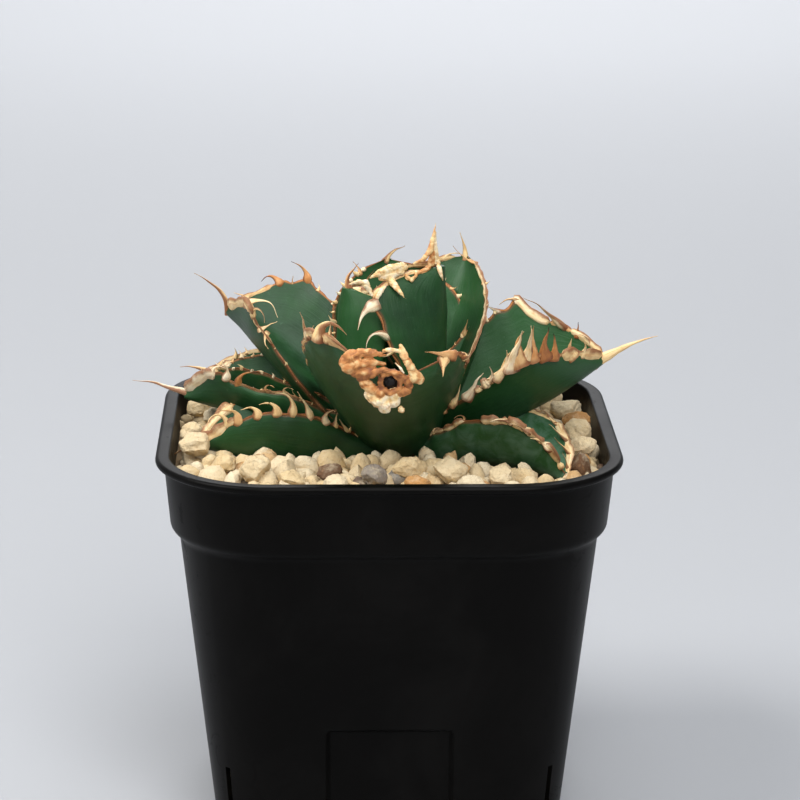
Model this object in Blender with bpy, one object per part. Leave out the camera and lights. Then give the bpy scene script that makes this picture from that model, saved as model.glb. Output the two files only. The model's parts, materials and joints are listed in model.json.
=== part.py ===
"""A potted agave: a young titan agave rosette in a square black slit pot, dressed with pumice.

Metres, +Z up. The origin is the middle of the pot's underside, the front of the pot faces -Y,
and +X is to the right of someone who looks at the front.
"""

import math
from dataclasses import dataclass

import bmesh
import bpy
from mathutils import Vector, noise

mm = 0.001

# Clearance between two pieces that touch in the real plant and pot.
GAP = 0.3 * mm
# At a sharp edge a clearance grows by up to this many times, to keep its full width on the faces.
MOST_SHELL = 2.5

# Pot: overall sizes.
POT_HEIGHT = 90.0 * mm
POT_WIDTH = 105.0 * mm
WALL = 1.3 * mm
FLOOR = 1.6 * mm

# Pot: the lip and the collar band below it.
LIP_OVERHANG = 2.0 * mm
LIP_HEIGHT = 1.8 * mm
BAND_HEIGHT = 17.4 * mm
BAND_DRAFT = 1.2 * mm
STEP_IN = 1.9 * mm
STEP_HEIGHT = 1.6 * mm

# Pot: the tapered body, given by its width at the foot.
FOOT_WIDTH = 78.0 * mm
LIP_CORNER = 26.5 * mm
STEP_CORNER = 23.0 * mm
FOOT_CORNER = 13.0 * mm
CORNER_STEPS = 6

# Pot: one pressed panel in each side, one drain slit up each corner, drain slots in the floor.
PANEL_WIDTH = 29.0 * mm
PANEL_TOP = 30.4 * mm
PANEL_DEPTH = 1.6 * mm
SLIT_WIDTH = 1.5 * mm
SLIT_TOP = 19.2 * mm
SLOT_LENGTH = 16.0 * mm
SLOT_WIDTH = 3.4 * mm
SLOT_RADIUS = 23.0 * mm

# Fill: potting mix, then a dressing of pumice gravel that ends below the rim.
FREEBOARD = 5.5 * mm
DRESSING_DEPTH = 6.2 * mm
DRESSING_BUMP = 0.9 * mm
BED_RINGS = 6

# Plant: the stem stands a little off the middle of the pot.
PLANT_X = 4.0 * mm
PLANT_Y = 2.0 * mm
STEM_RADIUS = 6.0 * mm
STEM_ABOVE = 14.5 * mm
STEM_BELOW = 20.0 * mm
PLANT_SCALE = 1.0

# Stem: its thickness from the foot to the head, as shares of its radius.
STEM_SHARES = (0.45, 1.10, 1.15, 0.75, 0.25)
STEM_SIDES = 12

# Leaf mesh: rows along a leaf, columns from the midrib to each margin, steps across the fold.
LEAF_ROWS = 10
LEAF_COLUMNS = 3
FOLD_STEPS = 12

# Leaf form: the channel takes up its fold over this share of the half-width, the end closes by
# this power, and the flesh thins by these shares towards the end and towards the margins.
CHANNEL_SHARE = 0.25
CHANNEL_POWER = 0.7
END_POWER = 0.9
TIP_HALF_WIDTH = 1.3 * mm
END_THINNING = 0.75
MARGIN_THINNING = 0.80
MARGIN_POWER = 1.8

# Marginal teeth: their height, and how far each leans outwards, upwards and along the leaf.
TOOTH_HEIGHT = 3.6 * mm
TOOTH_LEAN = (0.75, 0.35, 0.35)

# Bumps of the dressing: distance between them.
BUMP_SPACING = 4.0 * mm

# Loose feature stones: length, breadth and thickness as shares of their size, and roughness.
STONE_SEED = 11.0
STONE_SHAPE = (1.0, 0.78, 0.66)
STONE_ROUGHNESS = 0.25
STONE_LUMPS = 1.3

GREEN = (0.020, 0.075, 0.035)
DEEP_GREEN = (0.012, 0.050, 0.026)
BLACK = (0.012, 0.012, 0.013)
PUMICE = (0.72, 0.60, 0.40)
PEAT = (0.10, 0.065, 0.040)
CROWN = (0.33, 0.30, 0.17)


@dataclass(frozen=True)
class Leaf:
    """One leaf. Lengths are in millimetres and angles in degrees.

    heading is the way it points, 0 to the front and 90 to the right. root is how far its midrib
    starts from the stem's axis and height how far above the dressing. rise is its climb, roll its
    turn about its midrib and fold the angle of each half to a flat leaf, at the base and the end.
    """

    name: str
    heading: float
    root: float
    height: float
    length: float
    rise: tuple
    width: float
    widest: float
    fold: tuple
    roll: tuple = (0, 0)
    swing: float = 0
    thickness: float = 6.0
    base_share: float = 0.60
    spine: float = 7.0
    spine_rise: float = 30.0
    spine_turn: float = 0.0


# From the heart outwards: a leaf gives way to every leaf that comes before it.
LEAVES = (
    Leaf("leaf_bud", 200, 1.0, 10.5, 24, (86, 96), 15, 0.50, (60, 80), thickness=2.6,
         spine=6, spine_rise=80),
    Leaf("leaf_heart_right", 98, 4.0, 8.5, 34, (82, 84), 36, 0.80, (48, 58), (28, -15), -6,
         thickness=5.0, spine=11, spine_rise=85, spine_turn=-90),
    Leaf("leaf_heart_left", 282, 6.0, 7.5, 31, (70, 88), 36, 0.80, (48, 56), (-20, 12), 4,
         thickness=5.5, spine=6, spine_rise=70),
    Leaf("leaf_back_right", 146, 6.0, 5.5, 40, (60, 60), 33, 0.58, (25, 40),
         spine=6, spine_rise=70),
    Leaf("leaf_back_left", 186, 8.0, 5.5, 37, (64, 62), 34, 0.58, (22, 32), swing=6,
         spine=6, spine_rise=60),
    Leaf("leaf_front", -14, 5.5, 3.5, 46, (42, 18), 45, 0.70, (32, 56), (6, -8), 18,
         thickness=6.5, spine=3, spine_rise=-5),
    Leaf("leaf_upper_left", 248, 7.0, 6.5, 43, (37, 31), 37, 0.66, (35, 46), (-52, 2), 4,
         spine=11, spine_rise=55, spine_turn=8),
    Leaf("leaf_rear_upper", 216, 6.0, 3.5, 40, (32, 20), 34, 0.58, (30, 42),
         spine=7, spine_rise=35),
    Leaf("leaf_right", 84, 7.0, 5.5, 43, (12, 34), 43, 0.62, (46, 56), (24, 12), -4,
         thickness=4.2, base_share=0.55, spine=10, spine_rise=34, spine_turn=8),
    Leaf("leaf_rear_right", 128, 6.0, 2.5, 41, (24, 8), 35, 0.58, (30, 42),
         spine=7, spine_rise=25),
    Leaf("leaf_left", 264, 6.0, 3.5, 46, (12, 6), 27, 0.60, (44, 53), (-20, 8), -2,
         thickness=5.5, spine=12, spine_rise=20, spine_turn=4),
    Leaf("leaf_front_right", 56, 7.0, -0.5, 38, (22, -22), 27, 0.58, (40, 50), (10, -18), -4,
         spine=3, spine_rise=-20),
    Leaf("leaf_front_left", 286, 4.0, -0.5, 45, (3, 7), 30, 0.58, (50, 62), (-10, 12), -5,
         spine=6, spine_rise=4),
    Leaf("leaf_left_rear", 250, 5.0, 2.5, 45, (15, 5), 27, 0.58, (31, 41),
         spine=7, spine_rise=20),
    Leaf("leaf_rear_low", 174, 7.0, 0.5, 38, (16, 2), 34, 0.58, (30, 42),
         spine=6, spine_rise=15),
)

# Feature stones: place across and back as a share of the free half-width, half-size, and turn.
STONES = (
    (-0.97, 0.46, 3.6, 10), (-0.90, 0.26, 3.8, 70), (-0.99, -0.02, 3.4, 130), (-0.98, -0.28, 4.0, 40),
    (-0.82, -0.58, 3.2, 15), (-0.68, -0.76, 4.4, 80), (-0.48, -0.86, 3.4, 150), (-0.30, -0.72, 3.2, 30),
    (-0.27, -0.98, 3.6, 95), (-0.08, -0.84, 3.6, 60), (0.10, -0.68, 3.8, 10), (0.13, -0.98, 3.4, 120),
    (0.30, -0.78, 4.2, 55), (0.39, -0.99, 3.4, 5), (0.55, -0.86, 3.6, 75), (0.99, -0.28, 3.6, 20),
    (0.99, -0.07, 4.2, 100), (0.99, 0.17, 3.8, 50), (0.97, 0.40, 4.0, 140), (0.88, 0.65, 4.2, 15),
    (0.66, 0.88, 3.8, 60), (0.18, 0.99, 3.8, 110), (-0.35, 0.99, 3.8, 25), (-0.80, 0.80, 4.0, 85),
)


def between(pair, share):
    """The value a share of the way from the first of a pair to the second."""
    return pair[0] + (pair[1] - pair[0]) * share


def clear_scene():
    for obj in list(bpy.data.objects):
        bpy.data.objects.remove(obj)


def make_material(name, colour, roughness):
    """A Principled material."""
    material = bpy.data.materials.new(name)
    material.use_nodes = True
    shader = material.node_tree.nodes["Principled BSDF"]
    shader.inputs["Base Color"].default_value = (*colour, 1)
    shader.inputs["Roughness"].default_value = roughness
    shader.inputs["Metallic"].default_value = 0
    return material


def add_object(name, bm, material, smooth_angle=None):
    """Turn a bmesh into a named object."""
    bmesh.ops.recalc_face_normals(bm, faces=bm.faces)
    mesh = bpy.data.meshes.new(name)
    bm.to_mesh(mesh)
    bm.free()
    mesh.materials.append(material)
    if smooth_angle is not None:
        mesh.shade_smooth()
        mesh.set_sharp_from_angle(angle=smooth_angle)
    obj = bpy.data.objects.new(name, mesh)
    bpy.context.collection.objects.link(obj)
    return obj


def hide_tool(obj):
    """Keep a cutter out of the finished model, and hand it back."""
    obj.hide_render = True
    obj.display_type = "WIRE"
    return obj


def grown_copy(obj, distance=GAP):
    """A hidden copy of an object, swollen by a distance, that cuts a clearance around it."""
    bm = bmesh.new()
    bm.from_mesh(obj.data)
    bm.normal_update()
    shifts = [vert.normal * distance * min(vert.calc_shell_factor(), MOST_SHELL) for vert in bm.verts]
    for vert, shift in zip(bm.verts, shifts):
        vert.co += shift
    return hide_tool(add_object("clearance_" + obj.name, bm, obj.data.materials[0]))


def largest_body(bm):
    """Delete every loose scrap but the body with the most volume."""
    left = set(bm.faces)
    bodies = []
    while left:
        body = set()
        queue = [left.pop()]
        while queue:
            face = queue.pop()
            body.add(face)
            near = {other for edge in face.edges for other in edge.link_faces if other in left}
            left -= near
            queue.extend(near)
        bodies.append(body)

    def volume(faces):
        total = 0.0
        for face in faces:
            a = face.verts[0].co
            for b, c in zip(face.verts[1:], face.verts[2:]):
                total += a.dot(b.co.cross(c.co))
        return total

    bodies.sort(key=volume)
    scraps = [face for body in bodies[:-1] for face in body]
    bmesh.ops.delete(bm, geom=scraps, context="FACES")
    loose = [vert for vert in bm.verts if not vert.link_faces]
    bmesh.ops.delete(bm, geom=loose, context="VERTS")


def joined(name, tools):
    """One hidden tool made of several that stand clear of each other."""
    bm = bmesh.new()
    for tool in tools:
        bm.from_mesh(tool.data)
    return hide_tool(add_object(name, bm, tools[0].data.materials[0]))


def boxes_meet(first, second):
    """Whether the boxes of two objects overlap."""
    for axis in range(3):
        a = [vert.co[axis] for vert in first.data.vertices]
        b = [vert.co[axis] for vert in second.data.vertices]
        if min(a) > max(b) or min(b) > max(a):
            return False
    return True


def combine(obj, tools, operation):
    """Apply one exact Boolean for each tool that reaches the object, then drop loose scraps."""
    for tool in tools:
        if not boxes_meet(obj, tool):
            continue
        modifier = obj.modifiers.new(operation.title(), "BOOLEAN")
        modifier.operation = operation
        modifier.solver = "EXACT"
        modifier.object = tool
        graph = bpy.context.evaluated_depsgraph_get()
        mesh = bpy.data.meshes.new_from_object(obj.evaluated_get(graph))
        obj.modifiers.remove(modifier)
        bm = bmesh.new()
        bm.from_mesh(mesh)
        bmesh.ops.triangulate(bm, faces=bm.faces)
        largest_body(bm)
        bm.to_mesh(obj.data)
        bm.free()
        bpy.data.meshes.remove(mesh)


def rounded_square(half, corner, z):
    """Points around a square with round corners, anticlockwise from the right side's front."""
    points = []
    centre = half - corner
    for quarter in range(4):
        for step in range(CORNER_STEPS + 1):
            angle = math.radians(90 * quarter + 90 * step / CORNER_STEPS)
            sign_x = 1 if quarter in (0, 3) else -1
            sign_y = 1 if quarter in (0, 1) else -1
            x = sign_x * centre + corner * math.cos(angle)
            y = sign_y * centre + corner * math.sin(angle)
            points.append(Vector((x, y, z)))
    return points


def loft(bm, rings):
    """Skin a stack of rings that all have the same number of points, and close both ends."""
    loops = [[bm.verts.new(point) for point in ring] for ring in rings]
    for low, high in zip(loops, loops[1:]):
        for i in range(len(low)):
            j = (i + 1) % len(low)
            bm.faces.new((low[i], low[j], high[j], high[i]))
    bm.faces.new(reversed(loops[0]))
    bm.faces.new(loops[-1])


def step_height():
    """Height of the line where the body meets the collar band."""
    return POT_HEIGHT - BAND_HEIGHT


def body_half(z):
    """Half-width of the tapered body at a height."""
    top = POT_WIDTH / 2 - LIP_OVERHANG - BAND_DRAFT - STEP_IN
    return FOOT_WIDTH / 2 + (top - FOOT_WIDTH / 2) * z / step_height()


def body_corner(z):
    """Corner radius of the tapered body at a height."""
    return FOOT_CORNER + (STEP_CORNER - FOOT_CORNER) * z / step_height()


def dressing_top():
    """Mean height of the top of the pumice dressing."""
    return POT_HEIGHT - FREEBOARD


def mix_top():
    """Height of the top of the potting mix."""
    return dressing_top() - DRESSING_DEPTH - GAP


def outer_profile():
    """(height, half-width, corner radius) up the outside of the pot."""
    step = step_height()
    band_foot = POT_WIDTH / 2 - LIP_OVERHANG - BAND_DRAFT
    band_head = POT_WIDTH / 2 - LIP_OVERHANG
    lip_foot = POT_HEIGHT - LIP_HEIGHT
    lip_round = LIP_HEIGHT / 4
    return (
        (0.0, body_half(0) - WALL / 2, body_corner(0) - WALL / 2),
        (WALL / 2, body_half(WALL / 2), body_corner(WALL / 2)),
        (step - STEP_HEIGHT / 2, body_half(step - STEP_HEIGHT / 2), STEP_CORNER),
        (step + STEP_HEIGHT / 2, band_foot, STEP_CORNER + STEP_IN),
        (lip_foot - STEP_HEIGHT / 2, band_head, LIP_CORNER - LIP_OVERHANG),
        (lip_foot, POT_WIDTH / 2 - lip_round, LIP_CORNER - lip_round),
        (lip_foot + lip_round, POT_WIDTH / 2, LIP_CORNER),
        (POT_HEIGHT - lip_round, POT_WIDTH / 2, LIP_CORNER),
        (POT_HEIGHT, POT_WIDTH / 2 - lip_round, LIP_CORNER - lip_round),
    )


def inner_profile(inset=0.0):
    """(height, half-width, corner radius) up the inside of the pot, pulled in by an inset."""
    step = step_height()
    band_foot = POT_WIDTH / 2 - LIP_OVERHANG - BAND_DRAFT - WALL - inset
    band_head = POT_WIDTH / 2 - LIP_OVERHANG - WALL - inset
    foot = FLOOR + inset
    below = step - STEP_HEIGHT / 2 + WALL
    above = step + STEP_HEIGHT / 2 + WALL
    return (
        (foot, body_half(foot) - WALL - inset, body_corner(foot) - WALL),
        (below, body_half(below) - WALL - inset, STEP_CORNER - WALL),
        (above, band_foot, STEP_CORNER),
        (POT_HEIGHT, band_head, LIP_CORNER - LIP_OVERHANG - WALL),
    )


def inner_size(z, inset):
    """Half-width and corner radius just inside the pot wall at any height."""
    profile = inner_profile(inset)
    for low, high in zip(profile, profile[1:]):
        if z <= high[0]:
            share = (z - low[0]) / (high[0] - low[0])
            return between((low[1], high[1]), share), between((low[2], high[2]), share)
    return profile[-1][1], profile[-1][2]


def inner_half(z, inset):
    """Half-width just inside the pot wall at any height."""
    return inner_size(z, inset)[0]


def inner_ring(z, inset):
    """The ring just inside the pot wall at any height."""
    half, corner = inner_size(z, inset)
    return rounded_square(half, corner, z)


def box_between(name, low, high, material, turn=0.0):
    """A hidden box from one corner to the other, turned about the pot's axis."""
    bm = bmesh.new()
    bmesh.ops.create_cube(bm, size=1.0)
    middle = (Vector(low) + Vector(high)) / 2
    size = Vector(high) - Vector(low)
    cos, sin = math.cos(turn), math.sin(turn)
    for vert in bm.verts:
        x = vert.co.x * size.x + middle.x
        y = vert.co.y * size.y + middle.y
        vert.co = Vector((x * cos - y * sin, x * sin + y * cos, vert.co.z * size.z + middle.z))
    return hide_tool(add_object(name, bm, material))


def panel_wedge(name, depth_out, depth_in, half_width, low, top, material, turn):
    """A hidden wedge that follows one leaning side of the pot, from depth_out to depth_in."""
    bm = bmesh.new()
    corners = []
    for z in (low, top):
        face = -body_half(z)
        for x, y in ((-1, -depth_out), (1, -depth_out), (1, depth_in), (-1, depth_in)):
            corners.append((x * half_width, face + y, z))
    cos, sin = math.cos(turn), math.sin(turn)
    verts = [bm.verts.new((x * cos - y * sin, x * sin + y * cos, z)) for x, y, z in corners]
    for ids in ((3, 2, 1, 0), (4, 5, 6, 7), (0, 1, 5, 4), (1, 2, 6, 5), (2, 3, 7, 6), (3, 0, 4, 7)):
        bm.faces.new([verts[i] for i in ids])
    return hide_tool(add_object(name, bm, material))


def build_pot(material):
    """The square pot: lip, collar band, tapered body, pressed panels, corner slits and drains."""
    bm = bmesh.new()
    rings = [rounded_square(half, corner, z) for z, half, corner in outer_profile()]
    rings += [rounded_square(half, corner, z) for z, half, corner in reversed(inner_profile())]
    loft(bm, rings)
    pot = add_object("pot", bm, material)
    half = PANEL_WIDTH / 2
    bosses, cutters = [], []
    for side in range(4):
        turn = math.radians(90 * side)
        bosses.append(
            panel_wedge(f"panel_boss_{side}", -WALL / 2, PANEL_DEPTH + WALL, half + WALL,
                        FLOOR / 2, PANEL_TOP + WALL, material, turn))
        cutters.append(
            panel_wedge(f"panel_cut_{side}", 2 * WALL, PANEL_DEPTH, half,
                        -FLOOR, PANEL_TOP, material, turn))
        slot_low = (-SLOT_LENGTH / 2, -SLOT_RADIUS - SLOT_WIDTH / 2, -FLOOR)
        slot_high = (SLOT_LENGTH / 2, -SLOT_RADIUS + SLOT_WIDTH / 2, 2 * FLOOR)
        cutters.append(box_between(f"drain_{side}", slot_low, slot_high, material, turn))
        slit_low = (-SLIT_WIDTH / 2, -POT_WIDTH, FLOOR + WALL)
        slit_high = (SLIT_WIDTH / 2, -FOOT_WIDTH / 2, SLIT_TOP)
        corner = turn + math.radians(45)
        cutters.append(box_between(f"slit_{side}", slit_low, slit_high, material, corner))
    combine(pot, [joined("panel_bosses", bosses)], "UNION")
    combine(pot, [joined("pot_openings", cutters)], "DIFFERENCE")
    pot.data.shade_smooth()
    pot.data.set_sharp_from_angle(angle=math.radians(35))
    return pot


def build_mix(material):
    """The potting mix, which fills the pot up to the pumice."""
    bm = bmesh.new()
    profile = inner_profile(GAP)
    heights = [z for z, _, _ in profile if z < mix_top()] + [mix_top()]
    loft(bm, [inner_ring(z, GAP) for z in heights])
    mix = add_object("potting_mix", bm, material)
    half = PANEL_WIDTH / 2 + WALL + GAP
    for side in range(4):
        turn = math.radians(90 * side)
        reach = PANEL_DEPTH + WALL + GAP
        top = PANEL_TOP + WALL + GAP
        recess = panel_wedge(f"mix_cut_{side}", WALL, reach, half, 0.0, top, material, turn)
        combine(mix, [recess], "DIFFERENCE")
    return mix


def build_dressing(material):
    """The bed of pumice gravel on the mix, with a bumpy top that is higher around the plant."""
    low = mix_top() + GAP
    top = dressing_top()
    rim = inner_ring(top, GAP)
    bm = bmesh.new()
    bottom = [bm.verts.new(point) for point in inner_ring(low, GAP)]
    loops = [[bm.verts.new(point) for point in rim]]
    for ring in range(1, BED_RINGS):
        share = 1 - ring / BED_RINGS
        loop = []
        for point in rim:
            x, y = point.x * share, point.y * share
            bump = noise.noise(Vector((x, y, 0)) / BUMP_SPACING) * DRESSING_BUMP
            loop.append(bm.verts.new((x, y, top + bump)))
        loops.append(loop)
    bm.faces.new(reversed(bottom))
    for outer, inner in zip([bottom] + loops, loops):
        for i in range(len(outer)):
            j = (i + 1) % len(outer)
            bm.faces.new((outer[i], outer[j], inner[j], inner[i]))
    bm.faces.new(loops[-1])
    bmesh.ops.triangulate(bm, faces=bm.faces)
    return add_object("pumice_bed", bm, material)


def build_stem(material):
    """The short thick stem that the leaves spring from, down to its blunt foot in the mix."""
    below = STEM_BELOW * PLANT_SCALE
    above = STEM_ABOVE * PLANT_SCALE
    foot = mix_top() - below
    head = dressing_top() + above
    heights = (foot, foot + below / 2, mix_top(), head - above / 2, head)
    bm = bmesh.new()
    rings = []
    for z, share in zip(heights, STEM_SHARES):
        ring = []
        radius = STEM_RADIUS * PLANT_SCALE * share
        for i in range(STEM_SIDES):
            angle = 2 * math.pi * i / STEM_SIDES
            x = PLANT_X + radius * math.cos(angle)
            y = PLANT_Y + radius * math.sin(angle)
            ring.append(Vector((x, y, z)))
        rings.append(ring)
    loft(bm, rings)
    return add_object("stem", bm, material, math.radians(50))


def blade_half_width(leaf, u):
    """Half the width of a leaf at a share u of its length."""
    if u < leaf.widest:
        share = leaf.base_share + (1 - leaf.base_share) * math.sin(math.pi / 2 * u / leaf.widest)
    else:
        share = (1 - ((u - leaf.widest) / (1 - leaf.widest)) ** 2) ** END_POWER
    return max(leaf.width / 2 * mm * PLANT_SCALE * share, TIP_HALF_WIDTH)


def leaf_frames(leaf):
    """The midrib point, direction, side and normal at each row of a leaf."""
    scale = mm * PLANT_SCALE
    start = math.radians(leaf.heading)
    point = Vector((
        PLANT_X + leaf.root * scale * math.sin(start),
        PLANT_Y - leaf.root * scale * math.cos(start),
        dressing_top() + leaf.height * scale,
    ))
    frames = []
    previous = None
    for row in range(LEAF_ROWS + 1):
        u = row / LEAF_ROWS
        heading = math.radians(leaf.heading + leaf.swing * u)
        rise = math.radians(between(leaf.rise, u))
        roll = math.radians(between(leaf.roll, u))
        along = Vector((
            math.cos(rise) * math.sin(heading),
            -math.cos(rise) * math.cos(heading),
            math.sin(rise),
        ))
        level = Vector((math.cos(heading), math.sin(heading), 0))
        up = along.cross(level)
        side = level * math.cos(roll) + up * math.sin(roll)
        normal = up * math.cos(roll) - level * math.sin(roll)
        if previous is not None:
            point = point + (previous + along) * (leaf.length * scale / LEAF_ROWS / 2)
        frames.append((point, along, side, normal))
        previous = along
    return frames


def leaf_section(leaf, v):
    """(across, up, angle) of the folded half-section at a share v of the way to the margin."""
    across = up = angle = 0.0
    for step in range(FOLD_STEPS):
        share = v * (step + 0.5) / FOLD_STEPS
        channel = min(1, share / CHANNEL_SHARE) ** CHANNEL_POWER
        angle = math.radians(between(leaf.fold, share)) * channel
        across += math.cos(angle) * v / FOLD_STEPS
        up += math.sin(angle) * v / FOLD_STEPS
    return across, up, angle


def build_leaf(leaf, material):
    """A thick channelled leaf with a toothed margin and a terminal spine."""
    bm = bmesh.new()
    frames = leaf_frames(leaf)
    columns = range(-LEAF_COLUMNS, LEAF_COLUMNS + 1)
    sections = {c: leaf_section(leaf, abs(c) / LEAF_COLUMNS) for c in columns}
    upper, under = [], []
    for row, (point, along, side, normal) in enumerate(frames):
        u = row / LEAF_ROWS
        half = blade_half_width(leaf, u)
        top_row, under_row = [], []
        for c in columns:
            across, up, angle = sections[c]
            sign = -1 if c < 0 else 1
            top = point + (side * (sign * across) + normal * up) * half
            outward = side * (sign * math.sin(angle)) - normal * math.cos(angle)
            v = abs(c) / LEAF_COLUMNS
            thinning = (1 - END_THINNING * u ** 2) * (1 - MARGIN_THINNING * v ** MARGIN_POWER)
            thickness = leaf.thickness * mm * PLANT_SCALE * thinning
            top_row.append(bm.verts.new(top))
            under_row.append(bm.verts.new(top + outward * thickness))
        upper.append(top_row)
        under.append(under_row)
    last = len(upper[0]) - 1
    for row in range(LEAF_ROWS):
        for c in range(last):
            bm.faces.new((upper[row][c], upper[row + 1][c], upper[row + 1][c + 1], upper[row][c + 1]))
            bm.faces.new((under[row][c], under[row][c + 1], under[row + 1][c + 1], under[row + 1][c]))
        for c, sign in ((0, -1), (last, 1)):
            edge = (upper[row][c], upper[row + 1][c], under[row + 1][c], under[row][c])
            add_tooth(bm, edge, row, sign, frames[row])
    bm.faces.new(upper[0] + list(reversed(under[0])))
    add_terminal_spine(bm, leaf, upper[-1] + list(reversed(under[-1])))
    bmesh.ops.recalc_face_normals(bm, faces=bm.faces)
    bmesh.ops.triangulate(bm, faces=bm.faces)
    return add_object(leaf.name, bm, material, math.radians(60))


def add_tooth(bm, edge, row, sign, frame):
    """Close one cell of the margin, with a tooth on every second cell past the base."""
    if row < 2 or (row + (sign > 0)) % 2:
        bm.faces.new(edge)
        return
    _, along, side, normal = frame
    middle = sum((vert.co for vert in edge), Vector()) / 4
    height = TOOTH_HEIGHT * PLANT_SCALE * (0.7 + 0.1 * (row % 4))
    outward, upward, forward = TOOTH_LEAN
    reach = (side * sign * outward + normal * upward + along * forward).normalized()
    apex = bm.verts.new(middle + reach * height)
    for i in range(4):
        bm.faces.new((edge[i], edge[(i + 1) % 4], apex))


def add_terminal_spine(bm, leaf, ring):
    """Draw the end of a leaf out into its spine."""
    heading = math.radians(leaf.heading + leaf.swing + leaf.spine_turn)
    rise = math.radians(leaf.spine_rise)
    way = Vector((
        math.cos(rise) * math.sin(heading),
        -math.cos(rise) * math.cos(heading),
        math.sin(rise),
    ))
    middle = sum((vert.co for vert in ring), Vector()) / len(ring)
    apex = bm.verts.new(middle + way * leaf.spine * mm * PLANT_SCALE)
    for i in range(len(ring)):
        bm.faces.new((ring[i], ring[(i + 1) % len(ring)], apex))


def build_stone(index, across, back, half_size, turn, material):
    """One rough pumice stone that lies on the dressing."""
    bm = bmesh.new()
    bmesh.ops.create_icosphere(bm, subdivisions=2, radius=1.0)
    stretch = Vector(STONE_SHAPE) * half_size * mm
    cos, sin = math.cos(math.radians(turn)), math.sin(math.radians(turn))
    for vert in bm.verts:
        lump = noise.noise(vert.co * STONE_LUMPS + Vector((index, STONE_SEED, 0)))
        rough = 1 + STONE_ROUGHNESS * lump
        local = Vector(a * b * rough for a, b in zip(vert.co, stretch))
        vert.co = Vector((local.x * cos - local.y * sin, local.x * sin + local.y * cos, local.z))
    lowest = min(vert.co.z for vert in bm.verts)
    reach = max(max(abs(vert.co.x), abs(vert.co.y)) for vert in bm.verts)
    seat = dressing_top() + DRESSING_BUMP + GAP
    free = inner_half(seat, GAP) - reach
    for vert in bm.verts:
        vert.co += Vector((across * free, back * free, seat - lowest))
    return add_object(f"pumice_stone_{index:02d}", bm, material, math.radians(40))


def main():
    clear_scene()
    black = make_material("black_plastic", BLACK, 0.38)
    pumice = make_material("pumice", PUMICE, 0.9)
    peat = make_material("potting_mix", PEAT, 0.95)
    crown = make_material("stem_skin", CROWN, 0.7)
    greens = (make_material("leaf_green", GREEN, 0.4), make_material("leaf_deep_green", DEEP_GREEN, 0.4))

    pot = build_pot(black)
    mix = build_mix(peat)
    bed = build_dressing(pumice)
    stem = build_stem(crown)
    pot_room = grown_copy(pot)
    stem_room = grown_copy(stem)
    combine(mix, [stem_room], "DIFFERENCE")

    leaves = [build_leaf(leaf, greens[i % 2]) for i, leaf in enumerate(LEAVES)]
    rooms = [grown_copy(leaf) for leaf in leaves]
    for i, leaf in enumerate(leaves):
        combine(leaf, [pot_room, stem_room] + rooms[:i], "DIFFERENCE")
    combine(bed, [stem_room] + rooms, "DIFFERENCE")
    combine(mix, rooms, "DIFFERENCE")

    stone_rooms = []
    for index, (across, back, half_size, turn) in enumerate(STONES, start=1):
        stone = build_stone(index, across, back, half_size, turn, pumice)
        room = grown_copy(stone)
        combine(stone, [pot_room] + rooms + stone_rooms, "DIFFERENCE")
        stone_rooms.append(room)


main()
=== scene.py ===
"""The looks of a potted agave: a young titan agave in a square black slit pot, on a pumice dressing.

Metres, +Z up. The front of the pot faces -Y and +X is to the right of someone who looks at it.
Each class builds one part of the object: the pot, its fill, the gravel and the plant's leaves.
"""

import json
import logging
import random
from collections.abc import Iterable, Sequence
from dataclasses import dataclass
from enum import Enum
from math import asin, copysign, cos, degrees, dist, exp, pi, radians, sin, sqrt

import bmesh
import bpy
import numpy as np
from bmesh.types import BMesh
from bpy.types import Material, Node, Object
from bpy.types import NodeSocket as Socket
from mathutils import Matrix, Vector, noise
from mathutils.bvhtree import BVHTree

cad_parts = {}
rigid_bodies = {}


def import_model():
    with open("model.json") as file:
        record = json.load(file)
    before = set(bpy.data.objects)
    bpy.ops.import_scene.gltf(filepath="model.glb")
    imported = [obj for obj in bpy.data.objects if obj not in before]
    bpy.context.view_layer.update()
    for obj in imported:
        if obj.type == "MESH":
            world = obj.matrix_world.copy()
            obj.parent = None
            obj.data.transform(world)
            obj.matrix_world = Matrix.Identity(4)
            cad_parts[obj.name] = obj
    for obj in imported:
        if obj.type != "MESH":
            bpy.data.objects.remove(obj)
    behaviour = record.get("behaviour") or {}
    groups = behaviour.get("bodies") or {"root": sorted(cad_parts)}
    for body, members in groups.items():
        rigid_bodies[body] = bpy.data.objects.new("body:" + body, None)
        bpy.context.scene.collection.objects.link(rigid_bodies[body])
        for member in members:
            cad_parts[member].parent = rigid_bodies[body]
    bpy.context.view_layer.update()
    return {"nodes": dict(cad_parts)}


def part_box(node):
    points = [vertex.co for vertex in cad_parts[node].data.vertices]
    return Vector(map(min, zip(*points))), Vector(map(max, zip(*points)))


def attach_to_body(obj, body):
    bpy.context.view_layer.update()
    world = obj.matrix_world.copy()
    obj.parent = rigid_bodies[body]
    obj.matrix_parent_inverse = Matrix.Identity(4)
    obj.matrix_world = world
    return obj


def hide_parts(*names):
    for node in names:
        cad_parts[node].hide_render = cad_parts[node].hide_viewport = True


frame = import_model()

log = logging.getLogger("potted_agave")
mm = 0.001
BODY = "root"
Colour = tuple[float, float, float]
Point = tuple[float, float, float]


class Slot(Enum):
    """The material slots of the record."""

    PLASTIC = "black_plastic"
    MIX = "potting_mix"
    PUMICE = "pumice"
    STEM = "stem_skin"
    LEAF = "leaf_green"
    HORN = "leaf_horn"


class Side(Enum):
    """A margin of a leaf, seen from its heart: PLUS is on the right, MINUS on the left."""

    PLUS = 1
    MINUS = -1


# --- Small tools ---


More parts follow.
